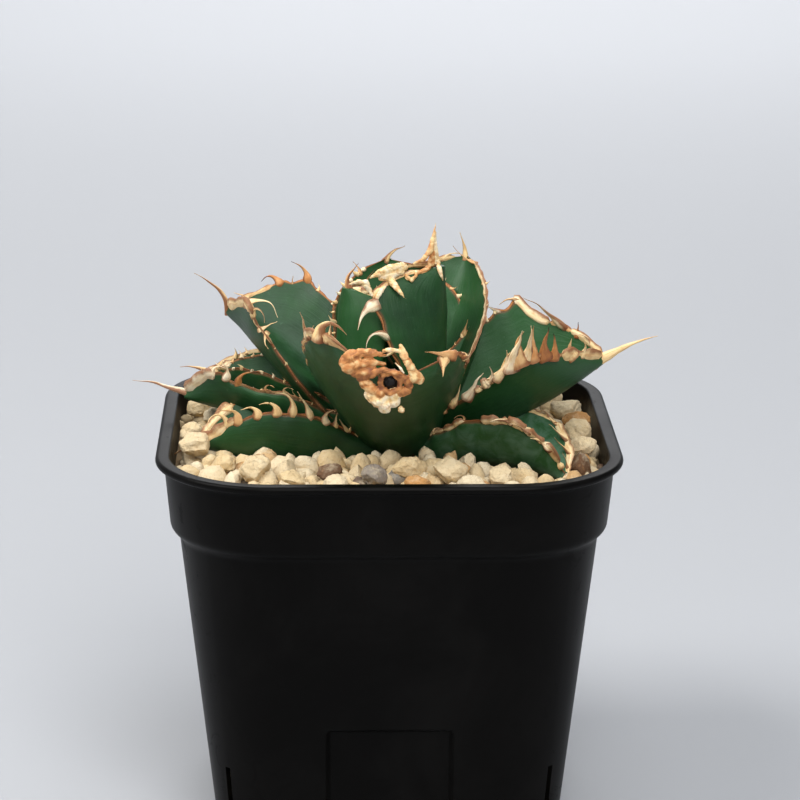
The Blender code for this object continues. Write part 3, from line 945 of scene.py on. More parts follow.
@dataclass
class Fill:
    """The potting mix and the bed under the pumice gravel."""

    pot: Pot
    crumb: float = 0.5 * mm
    bump: float = 0.7 * mm
    gap: float = 0.3 * mm
    bed_gap: float = 0.4 * mm
    panel_fade: float = 4 * mm
    bed_depth: float = 1.9 * mm
    mix_levels: int = 26
    bed_rings: int = 34
    bed_tone: float = 0.80

    FREE_MASK = (0.0, 0.0, 0.4, 1.0)
    RIM_MASK = (0.0, 0.7, 1.0, 1.0, 0.4, 0.0)

    def square(self, half: float, corner: float, z: float, steps: int = 10) -> list[Vector]:
        """Points round a square with round corners.

        Args:
            half: Half its width.
            corner: The radius of its corners.
            z: Its height.
            steps: Pieces in each corner.

        Returns:
            The points, anticlockwise.
        """
        points = []
        for quarter in range(4):
            for i in range(steps + 1):
                angle = radians(90 * i / steps)
                local = Vector((half - corner + corner * cos(angle),
                                half - corner + corner * sin(angle), z))
                points.append(Matrix.Rotation(radians(90 * quarter), 3, "Z") @ local)
        return points

    def build_mix(self) -> Object:
        """The crumbly block of mix, seen through the slits and the drains.

        Returns:
            The piece.
        """
        low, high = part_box("potting_mix")
        pot = self.pot
        inset = pot.wall + pot.panel_depth + pot.wall
        bm = bmesh.new()
        rings = []
        for i in range(self.mix_levels + 1):
            z = low.z + (high.z - low.z) * i / self.mix_levels
            half, corner = pot.body(min(z, pot.step_z))
            panel = ease((pot.panel_top + self.panel_fade - z) / self.panel_fade)
            shift = inset * panel + (pot.wall + self.gap) * (1 - panel)
            rings.append([bm.verts.new(p) for p in self.square(half - shift, corner - pot.wall, z)])
        skin_rings(bm, rings)
        for vert in bm.verts:
            vert.co.xy *= 1 - abs(noise.noise(vert.co / (2.5 * mm))) * self.crumb / pot.foot_half
        bmesh.ops.recalc_face_normals(bm, faces=bm.faces)
        piece = link_mesh("mix_block", bm, MixFinish().build("mix_crumbs"))
        return attach(piece, ["potting_mix"])

    def build_bed(self, leaves: "Canopy") -> Object:
        """The bed of fine pumice that fills the gaps between the grains, coloured dark as painted shadow,
        with its two masks.

        Args:
            leaves: What stands over it.

        Returns:
            The piece, which carries the attributes free_ground and rim_ground.
        """
        low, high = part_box("pumice_bed")
        pot = self.pot
        half = pot.half - pot.lip_overhang - pot.wall - self.bed_gap
        corner = pot.lip_corner - pot.lip_overhang - pot.wall
        top = high.z - self.bed_depth
        bm = bmesh.new()
        layer = bm.verts.layers.float.new("free_ground")
        rim = bm.verts.layers.float.new("rim_ground")
        loops = []
        for i in range(self.bed_rings):
            share = 1 - i / self.bed_rings
            loop = []
            for point in self.square(half, corner, 0.0, 14):
                x, y = point.x * share, point.y * share
                z = top + noise.noise(Vector((x, y, 0)) / (3.5 * mm)) * self.bump
                vert = bm.verts.new((x, y, z))
                vert[layer] = leaves.free_ground(vert.co) * self.FREE_MASK[min(i, 3)]
                vert[rim] = self.RIM_MASK[min(i, 5)]
                loop.append(vert)
            loops.append(loop)
        skirt = [bm.verts.new((v.co.x, v.co.y, low.z)) for v in loops[0]]
        skin_rings(bm, [skirt] + loops)
        bmesh.ops.recalc_face_normals(bm, faces=bm.faces)
        tone = bm.verts.layers.float.new("tone")
        for vert in bm.verts:
            vert[tone] = self.bed_tone
        # The bed's dark browns are painted shadow in the gaps between the grains.
        dark = PumiceFinish(ivory=(0.26, 0.19, 0.11), sand=(0.20, 0.14, 0.075))
        return link_mesh("gravel_bed", bm, dark.build("bed_pumice"))


@dataclass(frozen=True)
class Layer:
    """One scatter of grains, over the ground that a mask leaves free."""

    name: str
    ground: str
    lift: float
    thinning: float
    spacing: float
    size: float
    seed: int


GRAIN = 2.45 * mm
SPACING = 3.3 * mm
BED_LAYERS = (
    Layer("gravel_lower", "free_ground", 0.2 * mm, 1.0, SPACING, GRAIN, 1),
    Layer("gravel_upper", "free_ground", 2.3 * mm, 0.8, SPACING * 1.28, GRAIN * 1.12, 2),
    Layer("gravel_rim", "rim_ground", 0.5 * mm, 1.0, 1.75 * mm, 1.25 * mm, 6),
)
SLIT_LAYER = Layer("slit_grit", "free_ground", 0.0, 1.0, 1.9 * mm, 1.25 * mm, 4)
# A few stones stand out by their colour: rusty, grey or umber.
STONE_TONES = {5: 0.78, 8: 0.97, 10: 0.935, 12: 0.90, 18: 0.90}


@dataclass
class Gravel:
    """Loose pumice: a scatter of small grains, the larger stones, and the grit behind the slits."""

    kinds: int = 9
    seed: int = 5
    most_dense: float = 300000.0
    strip_half: float = 1.6 * mm
    strip_inset: float = 1.2 * mm
    stone_relief: float = 0.10 * mm

    def grain_collection(self) -> bpy.types.Collection:
        """Make the few different grains that the scatter picks from.

        Returns:
            Their collection.
        """
        dice = random.Random(self.seed)
        found = bpy.data.collections.new("grains")
        bpy.context.scene.collection.children.link(found)
        for i in range(self.kinds):
            bm = bmesh.new()
            rough_stone(bm, dice, 2, 5, 0.26)
            shape = (dice.uniform(0.95, 1.3), dice.uniform(0.75, 1.0), dice.uniform(0.65, 0.85))
            bmesh.ops.scale(bm, verts=bm.verts, vec=shape)
            obj = link_mesh(f"grain_{i}", bm)
            bpy.context.scene.collection.objects.unlink(obj)
            found.objects.link(obj)
        return found

    def tree(self) -> GeometryTree:
        """Make the tree that scatters turned and sized grains over a surface.

        Returns:
            The tree.
        """
        tree = GeometryTree("Gravel scatter", {
            "Grains": "NodeSocketCollection", "Grain Size": "NodeSocketFloat",
            "Spacing": "NodeSocketFloat", "Lift": "NodeSocketFloat", "Thinning": "NodeSocketFloat",
            "Seed": "NodeSocketInt",
            "Ground": "NodeSocketString", "Material": "NodeSocketMaterial"})
        given = tree.given
        free = tree.add("GeometryNodeInputNamedAttribute", {"Name": given["Ground"]}, data_type="FLOAT")
        factor = tree.add("ShaderNodeMath", {0: free, 1: given["Thinning"]},
                          operation="MULTIPLY")
        points = tree.add("GeometryNodeDistributePointsOnFaces", {
            "Mesh": given["Geometry"], "Distance Min": given["Spacing"], "Density Max": self.most_dense,
            "Density Factor": factor, "Seed": given["Seed"]}, distribute_method="POISSON")
        lift = tree.add("ShaderNodeCombineXYZ", {"Z": given["Lift"]})
        raised = tree.add("GeometryNodeSetPosition", {
            "Geometry": points, "Offset": lift})
        stones = tree.add("GeometryNodeCollectionInfo", {
            "Collection": given["Grains"], "Separate Children": True, "Reset Children": True})
        turn = tree.random_vector((0.0, 0.0, 0.0), (6.28, 6.28, 6.28), 3)
        spread = tree.random_float(0.70, 1.35, 7)
        size = tree.add("ShaderNodeMath", {0: spread, 1: given["Grain Size"]}, operation="MULTIPLY")
        placed = tree.add("GeometryNodeInstanceOnPoints", {
            "Points": raised, "Instance": stones, "Pick Instance": True,
            "Rotation": turn, "Scale": size})
        tone = tree.add("GeometryNodeStoreNamedAttribute", {
            "Geometry": placed, "Name": "tone", "Value": tree.random_float(0.0, 1.0, 13)},
            data_type="FLOAT", domain="INSTANCE")
        tree.close(tone, given["Material"])
        return tree

    def build(self, bed: Object, pot: Pot) -> list[Object]:
        """Scatter the grains in two layers and behind the slits, and lay the stones.

        Args:
            bed: The bed, which carries the free ground.
            pot: The pot, for its slits.

        Returns:
            The pieces.
        """
        finish = PumiceFinish().build("grain_pumice")
        grains = self.grain_collection()
        tree = self.tree()
        pieces = [self.scatter(layer, self.bed_top(bed), tree, grains, finish) for layer in BED_LAYERS]
        pieces.append(self.scatter(SLIT_LAYER, self.slit_strips(pot), tree, grains, finish))
        for obj in list(grains.objects):
            bpy.data.objects.remove(obj)
        bpy.data.collections.remove(grains)
        pieces += self.build_stones(finish)
        attach(bed, ["pumice_bed"])
        return pieces

    def scatter(self, layer: Layer, base: Object, tree: GeometryTree,
                grains: bpy.types.Collection, finish: Material) -> Object:
        """Scatter one layer of grains.

        Args:
            layer: Its sizes and its seed.
            base: The ground, which is used up.
            tree: The scatter's tree.
            grains: The grains to pick from.
            finish: Their material.

        Returns:
            The piece.
        """
        values = {"Grains": grains, "Grain Size": layer.size, "Spacing": layer.spacing,
                  "Lift": layer.lift, "Thinning": layer.thinning, "Seed": layer.seed,
                  "Ground": layer.ground, "Material": finish}
        return attach(tree.run(base, layer.name, values))

    def bed_top(self, bed: Object) -> Object:
        """Copy the bed's upper face, without its sides.

        Args:
            bed: The bed.

        Returns:
            The copy.
        """
        bm = bmesh.new()
        bm.from_mesh(bed.data)
        bm.normal_update()
        rest = [face for face in bm.faces if face.normal.z < 0.5]
        bmesh.ops.delete(bm, geom=rest, context="FACES")
        return link_mesh("base", bm)

    def slit_strips(self, pot: Pot) -> Object:
        """Lay a strip of ground behind each corner slit.

        Args:
            pot: The pot.

        Returns:
            The strips, as one object.
        """
        bm = bmesh.new()
        layer = bm.verts.layers.float.new("free_ground")
        for quarter in range(4):
            turn = Matrix.Rotation(radians(90 * quarter + 45), 3, "Z")
            corners = []
            low, high = pot.slit_foot, pot.slit_top
            for z, side in ((low, -1), (low, 1), (high, 1), (high, -1)):
                half, corner = pot.body(z)
                reach = (half - corner) * sqrt(2) + corner - pot.wall - self.strip_inset
                vert = bm.verts.new(turn @ Vector((reach, side * self.strip_half, z)))
                vert[layer] = 1.0
                corners.append(vert)
            bm.faces.new(corners)
        return link_mesh("strips", bm)

    def build_stones(self, finish: Material) -> list[Object]:
        """The larger stones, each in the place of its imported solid.

        Args:
            finish: Their material.

        Returns:
            The pieces.
        """
        pieces = []
        names = sorted(n for n in frame["nodes"] if n.startswith("pumice_stone_"))
        for index, node in enumerate(names):
            low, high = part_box(node)
            dice = random.Random(100 + index)
            bm = bmesh.new()
            rough_stone(bm, dice, 5, 9, 0.13)
            tone = bm.verts.layers.float.new("tone")
            shade = STONE_TONES.get(index + 1, dice.uniform(0.05, 0.72))
            spin = Matrix.Rotation(radians(dice.uniform(0, 180)), 3, "Z")
            points = [spin @ vert.co for vert in bm.verts]
            least = [min(p[k] for p in points) for k in range(3)]
            most = [max(p[k] for p in points) for k in range(3)]
            for vert, p in zip(bm.verts, points):
                share = [(p[k] - least[k]) / (most[k] - least[k]) for k in range(3)]
                vert.co = Vector(low[k] + (high[k] - low[k]) * share[k] for k in range(3))
                rough = noise.noise(vert.co / (0.8 * mm)) + 0.5 * noise.noise(vert.co / (0.35 * mm))
                vert.co += (vert.co - (low + high) / 2).normalized() * rough * self.stone_relief
                vert[tone] = shade
            piece = link_mesh(node.replace("pumice_stone", "stone"), bm, finish, 80)
            pieces.append(attach(piece, [node]))
        return pieces


# --- Leaves ---


@dataclass(frozen=True)
class Tooth:
    """One horn tooth or spine. Lengths are in millimetres and angles in degrees.

    aim is the way it starts, seen from the front: 0 to the right and 90 up. bend is how far that
    turns by its end, and lean how far it leans to the front. tone runs from white to brown. sink is
    how deep its root lies in the margin, and bulb how far it swells above the root.
    """

    side: Side | None
    at: float
    length: float
    width: float
    aim: float
    bend: float = 0
    lean: float = 10
    tone: float = 0.25
    sink: float = 0.9
    bulb: float = 0.40


@dataclass(frozen=True)
class Band:
    """A ribbon of horn along a margin, from one share of the leaf's length to another."""

    side: Side
    start: float
    end: float
    size: float
    tone: float = 0.3


@dataclass(frozen=True)
class ToothRow:
    """A row of small teeth along a margin, whose size changes from its start to its end."""

    side: Side
    start: float
    end: float
    first: float
    last: float
    spacing: float = 2.4


P, M = Side.PLUS, Side.MINUS


@dataclass
class Leaf:
    """One leaf. Lengths are in millimetres and angles in degrees.

    heading is the way it points, 0 to the front and 90 to the right. root is how far its midrib
    starts from the stem's axis and height how far above the dressing. rise is its climb, roll its
    turn about its midrib and fold the angle of each half to a flat leaf, at the base and the end.
    Each trim is a list of stops, a share of the length and how far the margin moves out there.
    """

    name: str
    heading: float
    root: float
    height: float
    length: float
    rise: tuple[float, float]
    width: float
    widest: float
    fold: tuple[float, float]
    roll: tuple[float, float] = (0, 0)
    swing: float = 0
    thickness: float = 6.0
    base_share: float = 0.60
    plus_trim: tuple[tuple[float, float], ...] = ()
    minus_trim: tuple[tuple[float, float], ...] = ()
    wave: float = 0.45
    teeth: tuple[Tooth, ...] = ()
    bands: tuple[Band, ...] = ()
    rows: tuple[ToothRow, ...] = ()
    # The share of brighter green and the strength of bloom are set leaf by leaf partly as painted light:
    # raised where a leaf gets little light, lowered where a fold shades it.
    fresh_and_lit: float = 0.45
    bloom_and_sheen: float = 0.25

    ROWS = 72
    COLUMNS = 12
    ROW_BASE_STEPS = 24
    FINE = 240
    CHANNEL = 0.25
    LEAST_HALF = 0.9
    AXIS = (4.0, 2.0)
    GROUND = 84.5

    def __post_init__(self) -> None:
        """Work out the midrib and the fold once.

        Each table has FINE rows, from the base to the end or from the midrib to the margin.
        """
        share = np.linspace(0, 1, self.FINE)
        heading = np.radians(self.heading + self.swing * share)
        rise = np.radians(self.rise[0] + (self.rise[1] - self.rise[0]) * share)
        roll = np.radians(self.roll[0] + (self.roll[1] - self.roll[0]) * share)[:, None]
        self.along = np.stack([np.cos(rise) * np.sin(heading), -np.cos(rise) * np.cos(heading),
                               np.sin(rise)], 1)
        level = np.stack([np.cos(heading), np.sin(heading), np.zeros_like(heading)], 1)
        up = np.cross(self.along, level)
        self.across = level * np.cos(roll) + up * np.sin(roll)
        self.normal = up * np.cos(roll) - level * np.sin(roll)
        start = radians(self.heading)
        root = np.array([self.AXIS[0] + self.root * sin(start),
                         self.AXIS[1] - self.root * cos(start), self.GROUND + self.height])
        steps = (self.along[1:] + self.along[:-1]) / 2 * self.length / (self.FINE - 1)
        self.midrib = root + np.concatenate([np.zeros((1, 3)), np.cumsum(steps, 0)])
        self.angle = np.radians(self.fold[0] + (self.fold[1] - self.fold[0]) * share)
        self.angle *= np.minimum(1, share / self.CHANNEL) ** 0.7
        middle = (self.angle[1:] + self.angle[:-1]) / 2
        self.out = np.concatenate([[0], np.cumsum(np.cos(middle))]) / (self.FINE - 1)
        self.rise_of_fold = np.concatenate([[0], np.cumsum(np.sin(middle))]) / (self.FINE - 1)

    def at(self, table: np.ndarray, share: float) -> np.ndarray:
        """Read a table at a share of the way through it.

        Args:
            table: The table, of FINE rows.
            share: The share, from 0 to 1.

        Returns:
            The row, between the two nearest.
        """
        place = min(max(share, 0.0), 1.0) * (self.FINE - 1)
        low = min(int(place), self.FINE - 2)
        return table[low] + (table[low + 1] - table[low]) * (place - low)

    def half_width(self, u: float) -> float:
        """Half the width, before the trim.

        Args:
            u: Share of the length.

        Returns:
            The half-width in millimetres.
        """
        if u < self.widest:
            share = self.base_share + (1 - self.base_share) * sin(pi / 2 * u / self.widest)
        else:
            share = (1 - ((u - self.widest) / (1 - self.widest)) ** 2) ** 0.9
        return max(self.width / 2 * share, self.LEAST_HALF)

    def margin_shift(self, u: float, sign: int) -> float:
        """Add up a margin's trim, its scallops and the lobes that carry the teeth.

        Args:
            u: Share of the length.
            sign: 1 for the PLUS margin, -1 for the MINUS one.

        Returns:
            How far the margin stands out, in millimetres.
        """
        stops = ((0.0, 0.0), *(self.plus_trim if sign > 0 else self.minus_trim), (1.0, 0.0))
        shift = 0.0
        for (low, first), (high, last) in zip(stops, stops[1:]):
            if low <= u < high:
                shift = first + (last - first) * ease((u - low) / (high - low))
        fade = ease(u / 0.2) * ease((1.02 - u) / 0.12)
        scallop = ripple(u * self.length / 2.6, sign * 7.3, self.heading)
        shift += self.wave * fade * scallop
        for tooth in self.teeth:
            if tooth.side and tooth.side.value == sign and tooth.at < 0.97:
                reach = (u - tooth.at) * self.length / (0.75 * tooth.width + 0.5)
                shift += min(0.42 * tooth.width, 1.3) * exp(-reach * reach)
        return shift

    def outward(self, u: float, sign: int) -> np.ndarray:
        """The way out from a margin, in the plane of its half of the blade."""
        edge = self.angle[-1]
        return self.at(self.across, u) * sign * cos(edge) + self.at(self.normal, u) * sin(edge)

    def point(self, u: float, v: float, under: bool) -> np.ndarray:
        """A point of the skin.

        Args:
            u: Share of the length.
            v: Share of the half-width, negative on the MINUS side.
            under: Whether it is on the lower face.

        Returns:
            The point in millimetres.
        """
        sign = -1 if v < 0 else 1
        share = abs(v)
        mid, across, normal = self.at(self.midrib, u), self.at(self.across, u), self.at(self.normal, u)
        angle = self.at(self.angle, share)
        half = self.half_width(u)
        lifted = normal * self.at(self.rise_of_fold, share)
        place = mid + (across * sign * self.at(self.out, share) + lifted) * half
        place = place + self.outward(u, sign) * self.margin_shift(u, sign) * share ** 4
        buckle = ripple(u * self.length / 5, sign * 3.1, self.heading + 5)
        place = place + normal * buckle * self.wave * 1.3 * share ** 3 * ease(u / 0.3)
        if under:
            down = across * sign * sin(angle) - normal * cos(angle)
            thick = self.thickness * (1 - 0.75 * u * u) * (1 - 0.84 * share ** 2.2)
            place = place + down * thick
        lump = noise.noise(Vector(place) / 7.0) * 0.35 + noise.noise(Vector(place) / 2.4) * 0.07
        return place + normal * lump * (1 - share ** 2)

    def margin(self, u: float, side: Side) -> tuple[np.ndarray, np.ndarray, np.ndarray, np.ndarray]:
        """Find a margin and the ways that leave it.

        Args:
            u: Share of the length.
            side: Which margin.

        Returns:
            The middle of the margin, and the ways outwards, along it and up from it.
        """
        sign = side.value
        top = self.point(u, sign, False)
        low = self.point(u, sign, True)
        out = self.outward(u, sign)
        step = 0.01
        along = self.point(min(u + step, 1), sign, False) - self.point(max(u - step, 0), sign, False)
        along = along / max(np.linalg.norm(along), 1e-9)
        up = np.cross(along, out) * sign
        return (top + low) / 2, out, along, up

    def build_flesh(self) -> Object:
        """The green body of the leaf.

        Returns:
            The piece.
        """
        bm = bmesh.new()
        place = bm.verts.layers.float_vector.new("blade_place")
        columns = [c / self.COLUMNS for c in range(-self.COLUMNS, self.COLUMNS + 1)]
        columns = [copysign(abs(v) ** 0.85, v) for v in columns]
        loops = []
        for row in range(self.ROWS + 1):
            u = 1 - (1 - row / self.ROWS) ** 1.35
            loop = []
            for under, order in ((False, columns), (True, columns[::-1])):
                for v in order:
                    vert = bm.verts.new(Vector(self.point(u, v, under)) * mm)
                    vert[place] = Vector((v, u, float(under)))
                    loop.append(vert)
            loops.append(loop)
        count = len(loops[0])
        for a, b in zip(loops, loops[1:]):
            for c in range(count):
                d = (c + 1) % count
                bm.faces.new((a[c], b[c], b[d], a[d]))
        for loop in (loops[0], loops[-1]):
            middle = bm.verts.new(sum((v.co for v in loop), Vector()) / count)
            middle[place] = Vector((0, loop[0][place].y, 0.5))
            for c in range(count):
                bm.faces.new((loop[c], loop[(c + 1) % count], middle))
        bmesh.ops.recalc_face_normals(bm, faces=bm.faces)
        finish = LeafFinish().build(self.name + "_skin", self.fresh_and_lit, self.bloom_and_sheen)
        piece = link_mesh(self.name + "_flesh", bm, finish, 80)
        modifier = piece.modifiers.new("Round", "SUBSURF")
        modifier.levels = modifier.render_levels = 1
        return attach(piece, [self.name])

    def build_horn(self, finish: Material) -> Object:
        """The teeth, bands and terminal spine of the leaf, as one piece.

        Args:
            finish: The horn material.

        Returns:
            The piece.
        """
        carver = HornCarver(self.name + "_horn", seed=int(self.heading) + 400)
        for side in Side:
            carver.ribbon(self, Band(side, 0.12, 1.0, 0.42, 0.80))
        for band in self.bands:
            carver.ribbon(self, band)
        for tooth in self.teeth:
            carver.tooth(self, tooth)
        return attach(carver.finish(finish))

    def row_base(self) -> Object:
        """Draw the lines along the margins that the rows of small teeth stand on.

        Returns:
            The lines, with the attributes out and size.
        """
        bm = bmesh.new()
        out_layer = bm.verts.layers.float_vector.new("out")
        size_layer = bm.verts.layers.float.new("size")
        for row in self.rows:
            previous = None
            for i in range(self.ROW_BASE_STEPS + 1):
                u = row.start + (row.end - row.start) * i / self.ROW_BASE_STEPS
                place, out, _, _ = self.margin(u, row.side)
                vert = bm.verts.new(Vector(place - out * 0.15) * mm)
                vert[out_layer] = Vector(out)
                vert[size_layer] = (row.first + (row.last - row.first) * i / self.ROW_BASE_STEPS) * mm
                if previous:
                    bm.edges.new((previous, vert))
                previous = vert
        return link_mesh("row_base", bm, smooth=None)


class HornCarver:
    """Collects the swept horns of one leaf in one mesh."""

    SIDES = 12
    TOOTH_STEPS = 18

    def __init__(self, name: str, seed: int) -> None:
        """Start an empty piece.

        Args:
            name: The piece's name.
            seed: The seed of its small bends.
        """
        self.name = name
        self.dice = random.Random(seed)
        self.bm = bmesh.new()
        self.tone = self.bm.verts.layers.float.new("tone")
        self.share = self.bm.verts.layers.float.new("share")
        self.grain = self.bm.verts.layers.float_vector.new("grain")
        self.flank = self.bm.verts.layers.float.new("flank")

    def sweep(self, path: list, flats: list, wide: list, thick: list, tone: float, spine: bool) -> None:
        """Skin a closed horn along a path.

        Args:
            path: Points in millimetres.
            flats: The way its broad side lies, at each point.
            wide: Half-widths.
            thick: Half-thicknesses.
            tone: Its tone.
            spine: Whether its end is dry, so that its share runs from 0 to 1.
        """
        rings = []
        last = len(path) - 1
        length = 0.0
        groove = self.dice.uniform(0, 6)
        for i, point in enumerate(path):
            before, after = path[max(i - 1, 0)], path[min(i + 1, last)]
            way = (after - before) / max(np.linalg.norm(after - before), 1e-9)
            length += np.linalg.norm(point - before)
            flat = flats[i] - way * np.dot(flats[i], way)
            flat = flat / max(np.linalg.norm(flat), 1e-9)
            other = np.cross(way, flat)
            ring = []
            for k in range(self.SIDES):
                angle = 2 * pi * k / self.SIDES
                groove_depth = 1 + 0.10 * sin(3 * angle + groove) + 0.05 * sin(5 * angle + groove * 2)
                reach = flat * wide[i] * cos(angle) + other * thick[i] * sin(angle)
                vert = self.bm.verts.new(Vector(point + reach * groove_depth) * mm)
                vert[self.tone] = tone
                vert[self.share] = i / last if spine else 0.5
                around = (2.2 * cos(angle) + groove, 2.2 * sin(angle))
                vert[self.grain] = Vector((*around, length * 0.22))
                # This marks one side of the horn, which the finish browns partly as a real edge and partly
                # as painted shade.
                vert[self.flank] = cos(angle)
                ring.append(vert)
            rings.append(ring)
        skin_rings(self.bm, rings)

    @staticmethod
    def toward(aim: float, lean: float, sag: float = 0.0) -> np.ndarray:
        """A way of a tooth, from its aim and lean in radians and how far it sags to the front."""
        return np.array([cos(lean) * cos(aim), -sin(lean) - sag, cos(lean) * sin(aim)])

    def tooth(self, leaf: Leaf, tooth: Tooth) -> None:
        """Add one tooth or spine.

        Args:
            leaf: The leaf it grows on.
            tooth: Its size and shape.
        """
        if tooth.side is None:
            root = leaf.at(leaf.midrib, 1.0)
            spread = leaf.at(leaf.across, 1.0)
        else:
            root, _, spread, _ = leaf.margin(tooth.at, tooth.side)
        steps = self.TOOTH_STEPS
        lean = radians(tooth.lean)
        kink = self.dice.uniform(0, 50)
        path, flats, wide, thick = [], [], [], []
        point = root - self.toward(radians(tooth.aim), lean) * tooth.sink
        for i in range(steps + 1):
            share = i / steps
            turn = 45 * share * ripple(share * 3, kink, 0)
            aim = radians(tooth.aim + tooth.bend * ease(share * 1.1) + turn)
            way = self.toward(aim, lean, 0.25 * ripple(share * 2.5, kink, 9))
            path.append(point)
            flats.append(spread)
            swell = (0.0 if tooth.side is None else tooth.bulb) * exp(-((share - 0.16) / 0.20) ** 2)
            size = 0.36 * (1 - share) ** 0.7 + swell + (0.64 - tooth.bulb * 0.9) * (1 - share) ** 2.4
            if tooth.side is None:
                size += 0.36 * (1 - share) ** 2.4
            size *= 1 + 0.22 * ripple(share * 5, kink, 4)
            wide.append(max(tooth.width / 2 * size, 0.07))
            thick.append(max(tooth.width / 2 * size * (0.72 - 0.12 * share), 0.06))
            point = point + way * (tooth.length + tooth.sink) / steps
        self.sweep(path, flats, wide, thick, tooth.tone, True)

    def ribbon(self, leaf: Leaf, band: Band) -> None:
        """Add a ribbon of horn along a margin.

        Args:
            leaf: The leaf it lies on.
            band: Its stretch and size.
        """
        steps = max(int((band.end - band.start) * leaf.length / 0.5), 6)
        path, flats, wide, thick = [], [], [], []
        for i in range(steps + 1):
            share = i / steps
            u = band.start + (band.end - band.start) * share
            place, out, _, _ = leaf.margin(u, band.side)
            fade = min(1, ease(share / 0.12) + 0.15) * min(1, ease((1 - share) / 0.12) + 0.15)
            lump = 1 + 0.75 * ripple(u * leaf.length / 1.7, band.size, leaf.heading)
            drift = 0.12 + 0.3 * ripple(u * leaf.length / 2.6, 3, 1)
            path.append(place + out * band.size * drift)
            flats.append(out)
            wide.append(band.size * fade * lump * 0.66)
            thick.append(max(band.size * fade * lump * 0.34, 0.1))
        self.sweep(path, flats, wide, thick, band.tone, False)

    def finish(self, material: Material) -> Object:
        """Close the mesh.

        Args:
            material: The horn material.

        Returns:
            The piece.
        """
        bmesh.ops.recalc_face_normals(self.bm, faces=self.bm.faces)
        return link_mesh(self.name, self.bm, material, 70)


REAR_BANDS = (Band(P, 0.82, 1.0, 1.2), Band(M, 0.82, 1.0, 1.2))
REAR_ROWS = (ToothRow(P, 0.2, 0.95, 1.6, 3.0, 2.8), ToothRow(M, 0.2, 0.95, 1.6, 3.0, 2.8))

